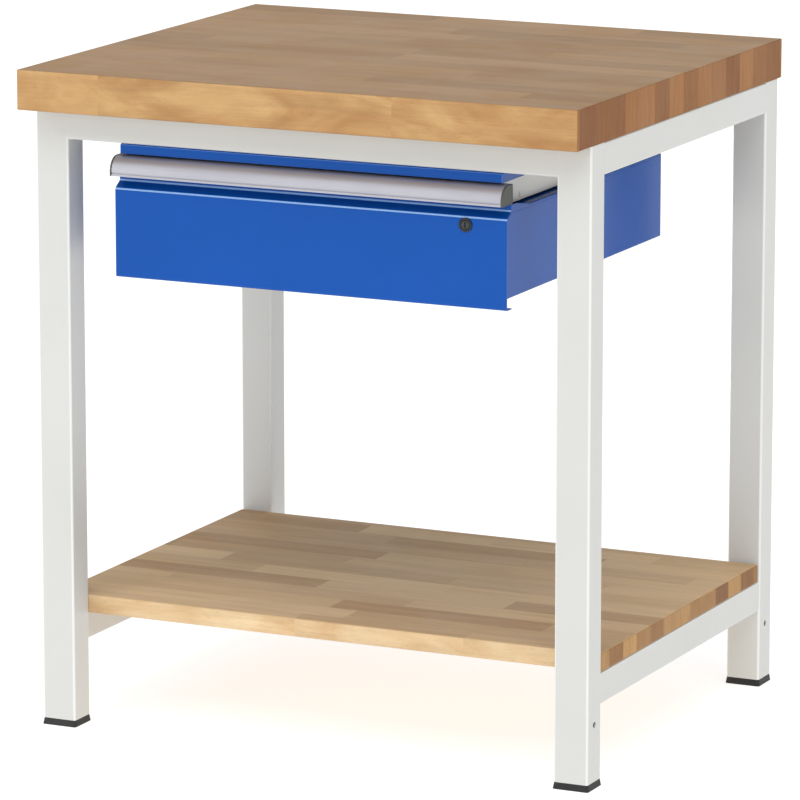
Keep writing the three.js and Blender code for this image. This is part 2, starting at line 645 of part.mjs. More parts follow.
const handleScrewPlaces = [-1, 0, 1].map((step) => step * HANDLE_SCREW_PITCH);
const handleScrewHeight = handleBottomInDrawer + HANDLE_HEIGHT / 2 - HANDLE_SCREW_DROP;

function handleScrewHoles() {
  const drill = bar('y', HANDLE_SCREW_RADIUS + TOUCH, RECESS_DEPTH - 2, handleBack + 2);
  return handleScrewPlaces.map((x) => drill.clone().translate(x, 0, handleScrewHeight));
}

// Outer line of the handle, from the foot of its lip round to its back.
function handleOutline() {
  const lipTop = handleBottomInDrawer + HANDLE_LIP;
  const centreY = HANDLE_ROUND - HANDLE_REACH;
  return quarterEllipse(centreY, lipTop, HANDLE_ROUND, handleTopInDrawer - lipTop, 8);
}

function handleGeometry() {
  const bottom = handleBottomInDrawer;
  const lipTop = bottom + HANDLE_LIP;
  const centreY = HANDLE_ROUND - HANDLE_REACH;
  const insideRound = quarterEllipse(centreY, lipTop, HANDLE_ROUND - HANDLE_WALL,
    handleTopInDrawer - HANDLE_WALL - lipTop, 8).reverse();
  const grooveBottom = lipTop - GROOVE_HEIGHT;
  const outline = [[-HANDLE_REACH, bottom], [-HANDLE_REACH, grooveBottom],
    [GROOVE_DEPTH - HANDLE_REACH, grooveBottom], [GROOVE_DEPTH - HANDLE_REACH, lipTop],
    ...handleOutline(), [handleBack, handleTopInDrawer], [handleBack, bottom],
    [handleLegFront, bottom], [handleLegFront, handleTopInDrawer - HANDLE_WALL],
    ...insideRound, [HANDLE_WALL - HANDLE_REACH, bottom]];
  return cut(prismX(shapeOf(outline), -handleHalf, handleHalf), ...handleScrewHoles());
}

function buildHandle(parent) {
  addMesh(parent, 'handle_profile', handleGeometry(), satinAluminium());
  const capOutline = shapeOf([[-HANDLE_REACH, handleBottomInDrawer], ...handleOutline(),
    [handleBack, handleTopInDrawer], [handleBack, handleBottomInDrawer]]);
  for (const [sideName, side] of SIDES) {
    const cap = prismX(capOutline, -CAP_THICKNESS / 2, CAP_THICKNESS / 2);
    const x = side * (drawerHalf - CAP_THICKNESS / 2);
    addMesh(parent, `handle_cap_${sideName}`, cap, capPlastic(), x);
  }
  const fixing = screw(HANDLE_SCREW_LENGTH, HANDLE_SCREW_RADIUS, HANDLE_SCREW_HEAD_RADIUS,
    HANDLE_SCREW_HEAD_HEIGHT).rotateX(Math.PI / 2);
  handleScrewPlaces.forEach((x, index) => {
    addMesh(parent, `handle_screw_${index + 1}`, fixing, zincSteel(),
      x, handleBack + TOUCH, handleScrewHeight);
  });
}

// ---------------------------------------------------------------- lock

function lockHousingGeometry() {
  const ringFront = -LOCK_RING_PROUD;
  const profile = [[LOCK_BORE_RADIUS, ringFront], [LOCK_RING_RADIUS - LOCK_RING_CHAMFER, ringFront],
    [LOCK_RING_RADIUS, ringFront + LOCK_RING_CHAMFER], [LOCK_RING_RADIUS, -TOUCH],
    [LOCK_BARREL_RADIUS, -TOUCH],
    [LOCK_BARREL_RADIUS, LOCK_BARREL_LENGTH], [LOCK_BORE_RADIUS, LOCK_BARREL_LENGTH],
    [LOCK_BORE_RADIUS, ringFront]];
  return new THREE.LatheGeometry(profile.map(([x, y]) => new THREE.Vector2(x, y)), ROUND_STEPS);
}

// Plug with a keyhole in its face and a square tail that drives the cam.
function lockCylinderGeometry() {
  const face = -LOCK_PLUG_PROUD;
  const shoulder = camFront - TOUCH;
  const tailEnd = camBack - 0.2;
  const body = bar('y', LOCK_PLUG_RADIUS, face, shoulder);
  const half = CAM_SQUARE / 2;
  const tail = block([-half, shoulder - 1, -half], [half, tailEnd, half]);
  const keyhole = block([-KEYHOLE_WIDTH / 2, face - 1, -KEYHOLE_HEIGHT / 2],
    [KEYHOLE_WIDTH / 2, face + KEYHOLE_DEPTH, KEYHOLE_HEIGHT / 2]);
  const thread = bar('y', HANDLE_SCREW_RADIUS + TOUCH, shoulder - CAM_THREAD_DEPTH, tailEnd + 1);
  return cut(join(body, tail), keyhole, thread);
}

function lockNutGeometry() {
  const corner = LOCK_NUT_FLATS / Math.sqrt(3);
  const hex = Array.from({ length: 6 }, (_, index) => {
    const angle = (index / 6) * Math.PI * 2;
    return [corner * Math.cos(angle), corner * Math.sin(angle)];
  });
  const start = DRAWER_SHEET + TOUCH;
  const body = prismY(shapeOf(hex), start, start + LOCK_NUT_THICKNESS);
  return cut(body, bar('y', LOCK_BARREL_RADIUS + TOUCH, start - 1, start + LOCK_NUT_THICKNESS + 1));
}

// Lever that points towards -X when unlocked and swings up behind the striker when locked.
function lockCamGeometry() {
  const tip = CAM_HALF_WIDTH - 1;
  const outline = new THREE.Shape();
  outline.absarc(0, 0, CAM_HALF_WIDTH + 1, -Math.PI / 2, Math.PI / 2);
  outline.absarc(tip - camLength, 0, tip, Math.PI / 2, Math.PI * 1.5);
  const half = CAM_SQUARE / 2 + TOUCH;
  const socket = block([-half, camFront - 1, -half], [half, camBack + 1, half]);
  return cut(prismY(outline, camFront, camBack), socket);
}

function buildLock(parent) {
  const lock = new THREE.Group();
  lock.position.set(lockX, 0, lockZ);
  parent.add(lock);
  addMesh(lock, 'lock_housing', lockHousingGeometry(), lockBlack());
  addMesh(lock, 'lock_nut', lockNutGeometry(), zincSteel());
  addMesh(lock, 'lock_cylinder', lockCylinderGeometry(), lockMetal());
  addMesh(lock, 'lock_cam', lockCamGeometry(), zincSteel());
  const camScrew = screw(CAM_SCREW_LENGTH, HANDLE_SCREW_RADIUS, CAM_SCREW_HEAD_RADIUS,
    CAM_SCREW_HEAD_HEIGHT).rotateX(Math.PI / 2);
  addMesh(lock, 'lock_cam_screw', camScrew, zincSteel(), 0, camBack + TOUCH, 0);
}

function buildDrawer(parent) {
  const drawer = new THREE.Group();
  drawer.position.set(0, drawerFront, drawerBottom);
  parent.add(drawer);
  addMesh(drawer, 'drawer_box', drawerBoxGeometry(), bluePowderCoat());
  addMesh(drawer, 'drawer_front', panelGeometry(), bluePowderCoat());
  buildHandle(drawer);
  buildLock(drawer);
}

// ---------------------------------------------------------------- assembly

const workbench = new THREE.Group();
const frame = new THREE.Group();
const suspension = new THREE.Group();
workbench.add(frame, suspension);

buildWorktop(frame);
buildLegs(frame);
buildFeet(frame);
buildLongRails(frame);
buildSideRails(frame);
buildShelf(frame);
buildBoardScrews(frame);
buildTrays(suspension);
buildTrayScrews(suspension);
buildHangers(suspension);
buildSlides(suspension);
buildStriker(suspension);
buildDrawer(workbench);

export default workbench;
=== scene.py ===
"""Workbench with a beech top, a beech shelf and one drawer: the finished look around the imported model.

Every class below is one sub-assembly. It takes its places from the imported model, shapes its pieces with
Blender's own modelling operators, and dresses them in procedural finishes. All lengths are in metres.
"""

import logging
import math
from contextlib import contextmanager
from dataclasses import dataclass, field, replace
from enum import Enum
from typing import Callable, Iterator, Sequence

import bmesh
import bpy
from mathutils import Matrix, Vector


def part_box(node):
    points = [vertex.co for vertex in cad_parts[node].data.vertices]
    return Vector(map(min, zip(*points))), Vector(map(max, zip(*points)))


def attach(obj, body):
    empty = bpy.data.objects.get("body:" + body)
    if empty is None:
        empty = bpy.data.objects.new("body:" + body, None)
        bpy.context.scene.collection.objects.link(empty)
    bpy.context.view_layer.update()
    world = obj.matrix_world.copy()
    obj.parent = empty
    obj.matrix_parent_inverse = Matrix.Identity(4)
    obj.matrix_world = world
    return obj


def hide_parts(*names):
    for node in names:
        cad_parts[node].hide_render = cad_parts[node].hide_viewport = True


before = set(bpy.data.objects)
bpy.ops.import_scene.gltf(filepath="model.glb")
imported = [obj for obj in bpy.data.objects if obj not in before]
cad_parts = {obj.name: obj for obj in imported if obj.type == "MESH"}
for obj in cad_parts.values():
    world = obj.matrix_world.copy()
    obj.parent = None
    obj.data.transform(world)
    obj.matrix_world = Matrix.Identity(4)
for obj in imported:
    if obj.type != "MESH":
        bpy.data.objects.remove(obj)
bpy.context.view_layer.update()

log = logging.getLogger("workbench")

Point = tuple[float, float, float]
Pair = tuple[float, float]
MM = 0.001
SMOOTH_UNDER = math.radians(32)

# How closely two directions have to agree, as the cosine of the angle between them.
PARALLEL = 0.999
TOWARDS = 0.99
SQUARE_ON = 0.9


class Axis(Enum):
    """The three directions a piece can run along."""

    X = 0
    Y = 1
    Z = 2

    @property
    def vector(self) -> Vector:
        """The unit vector of this axis."""
        return Vector([1.0 if index == self.value else 0.0 for index in range(3)])


class Side(Enum):
    """Left and right as the user sees them from the front."""

    LEFT = -1
    RIGHT = 1

    @property
    def label(self) -> str:
        """The side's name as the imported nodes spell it."""
        return self.name.lower()


class End(Enum):
    """Front, where the user stands, and rear."""

    FRONT = -1
    REAR = 1

    @property
    def label(self) -> str:
        """The end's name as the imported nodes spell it."""
        return self.name.lower()


CORNERS = [(end, side) for end in End for side in Side]


# ------------------------------------------------------------------ modelling by operators


def let_go() -> None:
    """Deselect every object, so that the next operator acts only on what it makes."""
    if bpy.context.object and bpy.context.object.mode != "OBJECT":
        bpy.ops.object.mode_set(mode="OBJECT")
    bpy.ops.object.select_all(action="DESELECT")


def take(piece: bpy.types.Object) -> None:
    """Make one object the only selected and the active one.

    Args:
        piece: The object to work on.
    """
    let_go()
    piece.select_set(True)
    bpy.context.view_layer.objects.active = piece


@contextmanager
def editing(piece: bpy.types.Object) -> Iterator[None]:
    """Open one object in edit mode with nothing selected, and close it again.

    Args:
        piece: The object to edit.
    """
    take(piece)
    bpy.ops.object.mode_set(mode="EDIT")
    bpy.ops.mesh.select_mode(type="VERT")
    bpy.ops.mesh.select_all(action="DESELECT")
    yield
    bpy.ops.object.mode_set(mode="OBJECT")


def pick(piece: bpy.types.Object, kind: str, test: Callable) -> int:
    """Select, in edit mode, only the elements that pass a test.

    Args:
        piece: The object in edit mode.
        kind: VERT, EDGE or FACE.
        test: Takes a bmesh element and says whether it is wanted.

    Returns:
        How many elements were selected.
    """
    bpy.ops.mesh.select_mode(type=kind)
    bpy.ops.mesh.select_all(action="DESELECT")
    shape = bmesh.from_edit_mesh(piece.data)
    chosen = [e for e in {"VERT": shape.verts, "EDGE": shape.edges, "FACE": shape.faces}[kind] if test(e)]
    for element in chosen:
        element.select_set(True)
    shape.select_flush_mode()
    bmesh.update_edit_mesh(piece.data)
    return len(chosen)


def runs_along(axis: Axis) -> Callable:
    """A test for edges that are parallel to an axis."""

    def test(edge: bmesh.types.BMEdge) -> bool:
        """Whether the edge is parallel to the axis."""
        line = edge.verts[1].co - edge.verts[0].co
        return abs(line.normalized().dot(axis.vector)) > PARALLEL

    return test


def faces_towards(direction: Sequence[float]) -> Callable:
    """A test for faces whose normal points one way."""
    wanted = Vector(direction).normalized()
    return lambda face: face.normal.dot(wanted) > TOWARDS


def settle(piece: bpy.types.Object) -> bpy.types.Object:
    """Move an object's place into its mesh, so that the object sits at the origin."""
    take(piece)
    bpy.ops.object.transform_apply(location=True, rotation=True, scale=True)
    return piece


def block(name: str, low: Sequence[float], high: Sequence[float]) -> bpy.types.Object:
    """A cube shaped in edit mode to lie between two corners.

    Args:
        name: The new piece's name.
        low: Its lowest corner.
        high: Its highest corner.

    Returns:
        The new piece, at the origin.
    """
    let_go()
    size = [b - a for a, b in zip(low, high)]
    bpy.ops.mesh.primitive_cube_add(size=1, location=[(a + b) / 2 for a, b in zip(low, high)])
    piece = bpy.context.object
    piece.name = name
    bpy.ops.object.mode_set(mode="EDIT")
    bpy.ops.mesh.select_all(action="SELECT")
    bpy.ops.transform.resize(value=size, center_override=piece.location)
    bpy.ops.object.mode_set(mode="OBJECT")
    return settle(piece)


def rod(name: str, axis: Axis, centre: Sequence[float], radius: float, length: float,
        sides: int = 48) -> bpy.types.Object:
    """A cylinder along an axis, ready to be shaped.

    Args:
        name: The new piece's name.
        axis: The direction it runs in.
        centre: Its middle.
        radius: Its radius.
        length: Its length.
        sides: How many sides it has.

    Returns:
        The new piece, at the origin.
    """
    let_go()
    turn = {Axis.X: (0, math.pi / 2, 0), Axis.Y: (math.pi / 2, 0, 0), Axis.Z: (0, 0, 0)}[axis]
    bpy.ops.mesh.primitive_cylinder_add(vertices=sides, radius=radius, depth=length,
                                        location=centre, rotation=turn)
    piece = bpy.context.object
    piece.name = name
    return settle(piece)


def use_modifier(piece: bpy.types.Object, kind: str, **settings: object) -> bpy.types.Object:
    """Add one modifier with its settings and apply it.

    Args:
        piece: The object to change.
        kind: The modifier's type, such as BEVEL.
        **settings: The modifier's properties.

    Returns:
        The same object.
    """
    take(piece)
    modifier = piece.modifiers.new(kind.title(), kind)
    for key, value in settings.items():
        setattr(modifier, key, value)
    bpy.ops.object.modifier_apply(modifier=modifier.name)
    return piece


def shade(piece: bpy.types.Object) -> bpy.types.Object:
    """Shade a piece smoothly, except across its sharp edges."""
    take(piece)
    bpy.ops.object.shade_smooth_by_angle(angle=SMOOTH_UNDER)
    return piece


def soften(piece: bpy.types.Object, width: float, steps: int = 2, angle: float = 40) -> bpy.types.Object:
    """Round every sharp edge of a piece and shade it smoothly.

    Args:
        piece: The object to change.
        width: The width of the rounding.
        steps: How many steps the rounding has.
        angle: Edges sharper than this, in degrees, are rounded.

    Returns:
        The same object.
    """
    use_modifier(piece, "BEVEL", width=width, segments=steps, limit_method="ANGLE",
                 angle_limit=math.radians(angle), use_clamp_overlap=True)
    return shade(piece)


def bevel_edges(piece: bpy.types.Object, test: Callable, width: float, steps: int) -> None:
    """Round the edges that pass a test.

    Args:
        piece: The object to change.
        test: Takes an edge and says whether it is rounded.
        width: The rounding's width.
        steps: How many steps it has.
    """
    with editing(piece):
        if pick(piece, "EDGE", test):
            bpy.ops.mesh.bevel(offset=width, segments=steps, affect="EDGES")


def drill(piece: bpy.types.Object, cutter: bpy.types.Object) -> bpy.types.Object:
    """Cut one piece out of another and throw the cutter away.

    Args:
        piece: The object to cut.
        cutter: What is cut out of it.

    Returns:
        The cut object.
    """
    use_modifier(piece, "BOOLEAN", operation="DIFFERENCE", solver="EXACT", object=cutter)
    bpy.data.objects.remove(cutter, do_unlink=True)
    return piece


def copy_to(master: bpy.types.Object, name: str, place: Sequence[float],
            turn: Sequence[float] = (0, 0, 0)) -> bpy.types.Object:
    """A copy of a piece with a mesh of its own, turned and moved to its place.

    Args:
        master: The piece to copy, modelled at the origin.
        name: The copy's name.
        place: Where the copy's origin goes.
        turn: Its rotation about X, Y and Z.

    Returns:
        The copy, with its place in its mesh.
    """
    take(master)
    bpy.ops.object.duplicate(linked=False)
    piece = bpy.context.object
    piece.name = name
    piece.location, piece.rotation_euler = place, turn
    return settle(piece)


def tube(name: str, axis: Axis, low: Sequence[float], high: Sequence[float], corner: float,
         wall: float) -> bpy.types.Object:
    """A rectangular tube with rounded corners and open ends.

    Args:
        name: The new piece's name.
        axis: The direction it runs in.
        low: Its lowest corner.
        high: Its highest corner.
        corner: The radius of its four corners.
        wall: Its wall thickness.

    Returns:
        The new piece.
    """
    piece = block(name, low, high)
    with editing(piece):
        pick(piece, "FACE", lambda face: abs(face.normal.dot(axis.vector)) > SQUARE_ON)
        bpy.ops.mesh.delete(type="ONLY_FACE")
    bevel_edges(piece, runs_along(axis), corner, 6)
    return use_modifier(piece, "SOLIDIFY", thickness=wall, offset=-1, use_even_offset=True)


def seed(name: str) -> bpy.types.Object:
    """A single vertex at the origin, from which lines and sheets are extruded.

    Args:
        name: The new piece's name.

    Returns:
        The new piece.
    """
    let_go()
    bpy.ops.mesh.primitive_plane_add(size=1)
    piece = bpy.context.object
    piece.name = name
    with editing(piece):
        bpy.ops.mesh.select_all(action="SELECT")
        bpy.ops.mesh.merge(type="CENTER")
    return piece


def across(axis: Axis) -> list[Axis]:
    """The two axes of a section that lies square to an axis."""
    return [other for other in Axis if other is not axis]


def in_section(axis: Axis, point: Pair, along: float) -> Vector:
    """A point of a section, in space.

    Args:
        axis: The axis that the section lies square to.
        point: The point, in the order of the other two axes.
        along: Where the section lies along the axis.

    Returns:
        The point's place.
    """
    first, second = across(axis)
    return first.vector * point[0] + second.vector * point[1] + axis.vector * along


def push(step: Vector) -> None:
    """Extrude what is selected by one step."""
    bpy.ops.mesh.extrude_region_move(TRANSFORM_OT_translate={"value": step})


def strip(name: str, axis: Axis, span: Pair, path: Sequence[Pair]) -> bpy.types.Object:
    """A thin surface folded along a path: one edge, extruded from point to point.

    Args:
        name: The new piece's name.
        axis: The direction that the folds run in.
        span: Where the strip starts and ends along that axis.
        path: The points of its section.

    Returns:
        The new piece, with no thickness yet.
    """
    piece = seed(name)
    with editing(piece):
        bpy.ops.mesh.select_all(action="SELECT")
        bpy.ops.transform.translate(value=in_section(axis, path[0], span[0]))
        push(axis.vector * (span[1] - span[0]))
        bpy.ops.mesh.select_all(action="SELECT")
        for start, end in zip(path, path[1:]):
            push(in_section(axis, end, 0) - in_section(axis, start, 0))
    return piece


def draw_outline(axis: Axis, outline: Sequence[Pair], along: float) -> None:
    """Extrude the only vertex of the piece in edit mode along an outline."""
    bpy.ops.mesh.select_all(action="SELECT")
    bpy.ops.transform.translate(value=in_section(axis, outline[0], along))
    for start, end in zip(outline, outline[1:]):
        push(in_section(axis, end, 0) - in_section(axis, start, 0))


def prism(name: str, axis: Axis, span: Pair, outline: Sequence[Pair]) -> bpy.types.Object:
    """A bar with one outline all along it.

    Args:
        name: The new piece's name.
        axis: The direction it runs in.
        span: Where it starts and ends along that axis.
        outline: The points of its closed outline.

    Returns:
        The new piece.
    """
    piece = seed(name)
    with editing(piece):
        draw_outline(axis, outline, span[0])
        bpy.ops.mesh.select_all(action="SELECT")
        bpy.ops.mesh.edge_face_add()
        push(axis.vector * (span[1] - span[0]))
        bpy.ops.mesh.select_all(action="SELECT")
        bpy.ops.mesh.normals_make_consistent(inside=False)
    return piece


def turned(name: str, axis: Axis, centre: Sequence[float], profile: Sequence[Pair],
           steps: int = 48) -> bpy.types.Object:
    """A piece turned on a lathe: a profile spun round an axis.

    Args:
        name: The new piece's name.
        axis: The lathe's axis.
        centre: A point on the axis, from which the profile's heights are measured.
        profile: Its points, as a radius and a height along the axis.
        steps: How many steps a full turn has.

    Returns:
        The new piece.
    """
    spoke = across(axis)[0].vector
    places = [Vector(centre) + spoke * radius + axis.vector * height for radius, height in profile]
    piece = seed(name)
    with editing(piece):
        bpy.ops.mesh.select_all(action="SELECT")
        bpy.ops.transform.translate(value=places[0])
        for start, end in zip(places, places[1:]):
            push(end - start)
        bpy.ops.mesh.select_all(action="SELECT")
        bpy.ops.mesh.spin(steps=steps, angle=2 * math.pi, center=centre, axis=axis.vector)
        bpy.ops.mesh.select_all(action="SELECT")
        bpy.ops.mesh.remove_doubles(threshold=1e-6)
        bpy.ops.mesh.normals_make_consistent(inside=False)
    return piece


def joined(name: str, pieces: Sequence[bpy.types.Object]) -> bpy.types.Object:
    """Several pieces of work made one object.

    Args:
        name: The joined piece's name.
        pieces: The objects to join.

    Returns:
        The joined object.
    """
    let_go()
    for piece in pieces:
        piece.select_set(True)
    bpy.context.view_layer.objects.active = pieces[0]
    if len(pieces) > 1:
        bpy.ops.object.join()
    pieces[0].name = name
    return pieces[0]


def sheet_metal(name: str, axis: Axis, span: Pair, path: Sequence[Pair], thickness: float,
                towards: Sequence[float], bend: float = 0.0) -> bpy.types.Object:
    """Folded sheet: a strip with rounded bends and a thickness.

    Args:
        name: The new piece's name.
        axis: The direction that the folds run in.
        span: Where the sheet starts and ends along that axis.
        path: The points of its face, in the other two axes' order.
        thickness: The sheet's thickness.
        towards: The side of the path's first stretch on which the thickness lies.
        bend: The radius of the bends on the face.

    Returns:
        The new piece.
    """
    piece = strip(name, axis, span, path)
    with editing(piece):
        if bend and pick(piece, "EDGE", lambda edge: runs_along(axis)(edge) and len(edge.link_faces) == 2):
            bpy.ops.mesh.bevel(offset=bend, segments=5, affect="EDGES")
        first_middle = (in_section(axis, path[0], 0) + in_section(axis, path[1], 0)) / 2
        flat = Vector([1, 1, 1]) - axis.vector
        shape = bmesh.from_edit_mesh(piece.data)
        first = min(shape.faces, key=lambda face: (face.calc_center_median() * flat - first_middle).length)
        if first.normal.dot(Vector(towards)) > 0:
            bpy.ops.mesh.select_all(action="SELECT")
            bpy.ops.mesh.flip_normals()
    return use_modifier(piece, "SOLIDIFY", thickness=thickness, offset=-1, use_even_offset=True)


def arc(centre: Pair, radii: Pair, start: float, end: float, steps: int) -> list[Pair]:
    """Points on an ellipse's arc.

    Args:
        centre: The ellipse's centre.
        radii: Its two radii.
        start: The first angle in degrees.
        end: The last angle in degrees.
        steps: How many steps lie between them.

    Returns:
        The points, from start to end.
    """
    angles = [math.radians(start + (end - start) * step / steps) for step in range(steps + 1)]
    return [(centre[0] + radii[0] * math.cos(a), centre[1] + radii[1] * math.sin(a)) for a in angles]


# ------------------------------------------------------------------ node graphs

Value = float | tuple | bpy.types.NodeSocket


def colour(code: str) -> tuple[float, float, float, float]:
    """A screen colour such as #c8a06a as the linear colour that a shader takes."""
    parts = [int(code[start:start + 2], 16) / 255 for start in (1, 3, 5)]
    linear = [part / 12.92 if part <= 0.04045 else ((part + 0.055) / 1.055) ** 2.4 for part in parts]
    return (*linear, 1.0)


class Graph:
    """A node tree being drawn up, with short ways to add and join its nodes."""

    def __init__(self, tree: bpy.types.NodeTree) -> None:
        """Take the tree that the nodes go in."""
        self.tree = tree

    def feed(self, socket: bpy.types.NodeSocket, value: Value) -> None:
        """Join a socket to an output, or give it a fixed value."""
        if isinstance(value, bpy.types.NodeSocket):
            self.tree.links.new(value, socket)
        else:
            socket.default_value = value

    def node(self, kind: str, inputs: dict | None = None, **settings: object) -> bpy.types.Node:
        """Add a node.

        Args:
            kind: The node's type without its ShaderNode prefix.
            inputs: Values or outputs for its sockets, by name or number.
            **settings: The node's own properties.

        Returns:
            The new node.
        """
        node = self.tree.nodes.new(f"ShaderNode{kind}")
        for key, value in settings.items():
            setattr(node, key, value)
        for key, value in (inputs or {}).items():
            self.feed(node.inputs[key], value)
        return node

    def math(self, operation: str, *values: Value) -> bpy.types.NodeSocket:
        """The result of a sum on numbers."""
        return self.node("Math", dict(enumerate(values)), operation=operation).outputs[0]

    def vector(self, operation: str, *values: Value) -> bpy.types.NodeSocket:
        """The result of a sum on vectors."""
        return self.node("VectorMath", dict(enumerate(values)), operation=operation).outputs[0]

    def split(self, vector: Value) -> list[bpy.types.NodeSocket]:
        """The three parts of a vector."""
        return list(self.node("SeparateXYZ", {0: vector}).outputs)

    def join(self, x: Value, y: Value, z: Value) -> bpy.types.NodeSocket:
        """A vector made of three numbers."""
        return self.node("CombineXYZ", {0: x, 1: y, 2: z}).outputs[0]

    def noise(self, place: Value, scale: Value, detail: float = 3, rough: float = 0.5,
              distortion: float = 0) -> bpy.types.NodeSocket:
        """Cloudy noise between 0 and 1."""
        inputs = {"Vector": place, "Scale": scale, "Detail": detail, "Roughness": rough,
                  "Distortion": distortion}
        return self.node("TexNoise", inputs).outputs["Fac"]

    def drawn_noise(self, place: Value, stretch: Value, detail: float = 3, rough: float = 0.5,
                    distortion: float = 0) -> bpy.types.NodeSocket:
        """Cloudy noise with its own scale along each of X, Y and Z."""
        return self.noise(self.vector("MULTIPLY", place, stretch), 1.0, detail, rough, distortion)

    def chance(self, place: Value) -> bpy.types.NodeSocket:
        """One random number for each different vector."""
        return self.node("TexWhiteNoise", {"Vector": place}, noise_dimensions="3D").outputs["Value"]

    def remap(self, value: Value, start: Value, end: Value, low: Value = 0.0, high: Value = 1.0,
              smooth: bool = False) -> bpy.types.NodeSocket:
        """A number moved from one range to another and kept inside it."""
        way = "SMOOTHSTEP" if smooth else "LINEAR"
        inputs = {0: value, 1: start, 2: end, 3: low, 4: high}
        return self.node("MapRange", inputs, interpolation_type=way, clamp=True).outputs[0]

    def mix(self, share: Value, first: Value, second: Value, blend: str = "MIX") -> bpy.types.NodeSocket:
        """Two colours mixed."""
        inputs = {0: share, 6: first, 7: second}
        return self.node("Mix", inputs, data_type="RGBA", blend_type=blend).outputs[2]

    def place(self) -> bpy.types.NodeSocket:
        """The point being shaded, in the object's own frame."""
        return self.node("TexCoord").outputs["Object"]

    def facing(self) -> list[bpy.types.NodeSocket]:
        """How far the surface faces along X, Y and Z, from 0 to 1."""
        return self.split(self.vector("ABSOLUTE", self.node("TexCoord").outputs["Normal"]))

    def bump(self, height: Value, distance: float, strength: float = 1.0) -> bpy.types.NodeSocket:
        """A surface relief of a real height."""
        inputs = {"Height": height, "Distance": distance, "Strength": strength}
        return self.node("Bump", inputs).outputs[0]


def group_of(name: str, inputs: dict[str, Value], outputs: Sequence[str],
             draw: Callable) -> bpy.types.NodeTree:
    """A pattern that several finishes share, made once as a node group.

    Args:
        name: The group's name.
        inputs: The inputs' names and starting values; a tuple is a vector.
        outputs: The outputs' names.
        draw: Takes the graph and the inputs by name, and returns the outputs by name.

    Returns:
        The group.
    """
    if name in bpy.data.node_groups:
        return bpy.data.node_groups[name]
    tree = bpy.data.node_groups.new(name, "ShaderNodeTree")
    for key, value in inputs.items():
        kind = "NodeSocketVector" if isinstance(value, tuple) else "NodeSocketFloat"
        tree.interface.new_socket(name=key, in_out="INPUT", socket_type=kind).default_value = value
    for key in outputs:
        tree.interface.new_socket(name=key, in_out="OUTPUT", socket_type="NodeSocketFloat")
    entry = tree.nodes.new("NodeGroupInput")
    leave = tree.nodes.new("NodeGroupOutput")
    graph = Graph(tree)
    results = draw(graph, {key: entry.outputs[key] for key in inputs})
    for key in outputs:
        graph.feed(leave.inputs[key], results[key])
    return tree


def use_group(graph: Graph, tree: bpy.types.NodeTree, **values: Value) -> dict[str, bpy.types.NodeSocket]:
    """Place a shared pattern in a material.

    Args:
        graph: The material's graph.
        tree: The pattern's group.
        **values: The pattern's inputs in this material.

    Returns:
        Its outputs by name.
    """
    node = graph.node("Group", node_tree=tree)
    for key, value in values.items():
        graph.feed(node.inputs[key], value)
    return {output.name: output for output in node.outputs}


def draw_staves(graph: Graph, given: dict) -> dict:
    """Glued staves: rows along X, each row cut into lengths at its own places."""
    x, y, _ = graph.split(given["Place"])
    across_rows = graph.math("DIVIDE", y, given["Width"])
    row = graph.math("FLOOR", across_rows)
    seed_row = graph.math("ADD", row, given["Seed"])
    start = graph.chance(graph.join(seed_row, 3.7, 1.3))
    run = graph.math("MULTIPLY_ADD", start, 9.0, graph.math("DIVIDE", x, given["Length"]))
    cell = graph.math("FLOOR", run)
    offset = graph.math("MULTIPLY", graph.chance(graph.join(cell, seed_row, 5.1)), 0.62)
    part = graph.math("FRACT", run)
    before = graph.math("LESS_THAN", part, offset)
    stave = graph.math("SUBTRACT", cell, before)
    tone = graph.chance(graph.join(stave, seed_row, 9.9))
    shade = graph.chance(graph.join(seed_row, stave, 4.4))
    to_end = graph.math("MULTIPLY", graph.math("ABSOLUTE", graph.math("SUBTRACT", part, offset)),
                        given["Length"])
    in_row = graph.math("FRACT", across_rows)
    to_side = graph.math("MULTIPLY", graph.math("MINIMUM", in_row, graph.math("SUBTRACT", 1.0, in_row)),
                         given["Width"])
    line = graph.remap(graph.math("MINIMUM", to_end, to_side), 0.0, 0.00055, 1.0, 0.0, smooth=True)
    return {"Tone": tone, "Shade": shade, "Line": line}


def draw_beech(graph: Graph, given: dict) -> dict:
    """Beech grain that runs along X, different in each stave."""
    shift = graph.node("VectorMath", {0: (3.1, 7.7, 5.3), "Scale": given["Tone"]}, operation="SCALE")
    place = graph.vector("ADD", given["Place"], shift.outputs[0])
    long_way = graph.vector("MULTIPLY", place, (1.6, 26.0, 26.0))
    streak = graph.noise(long_way, 3.2, detail=5, rough=0.62, distortion=0.6)
    fine = graph.drawn_noise(place, (9.0, 420.0, 420.0), detail=2, rough=0.55)
    fleck_noise = graph.drawn_noise(place, (150.0, 900.0, 900.0), detail=1, rough=0.4)
    fleck = graph.remap(fleck_noise, 0.61, 0.72)
    cloud = graph.drawn_noise(place, (9.0, 16.0, 22.0), rough=0.55, distortion=0.8)
    _, y, z = graph.split(place)
    heart = graph.math("MULTIPLY_ADD", given["Tone"], 0.17, -0.03)
    radius = graph.node("VectorMath", {0: graph.join(0.0, graph.math("ADD", y, heart), z)},
                        operation="LENGTH").outputs["Value"]
    wobble = graph.math("MULTIPLY", cloud, 2.6)
    ring = graph.math("SINE", graph.math("MULTIPLY_ADD", radius, 1450.0, wobble))
    pore = graph.drawn_noise(place, (60.0, 1500.0, 1500.0), detail=1)
    ray = graph.drawn_noise(place, (3.0, 130.0, 14.0), detail=4, rough=0.6, distortion=0.5)
    return {"Streak": streak, "Fine": fine, "Fleck": fleck, "Cloud": cloud,
            "Ring": graph.remap(ring, -1.0, 1.0), "Pore": pore, "Ray": ray}


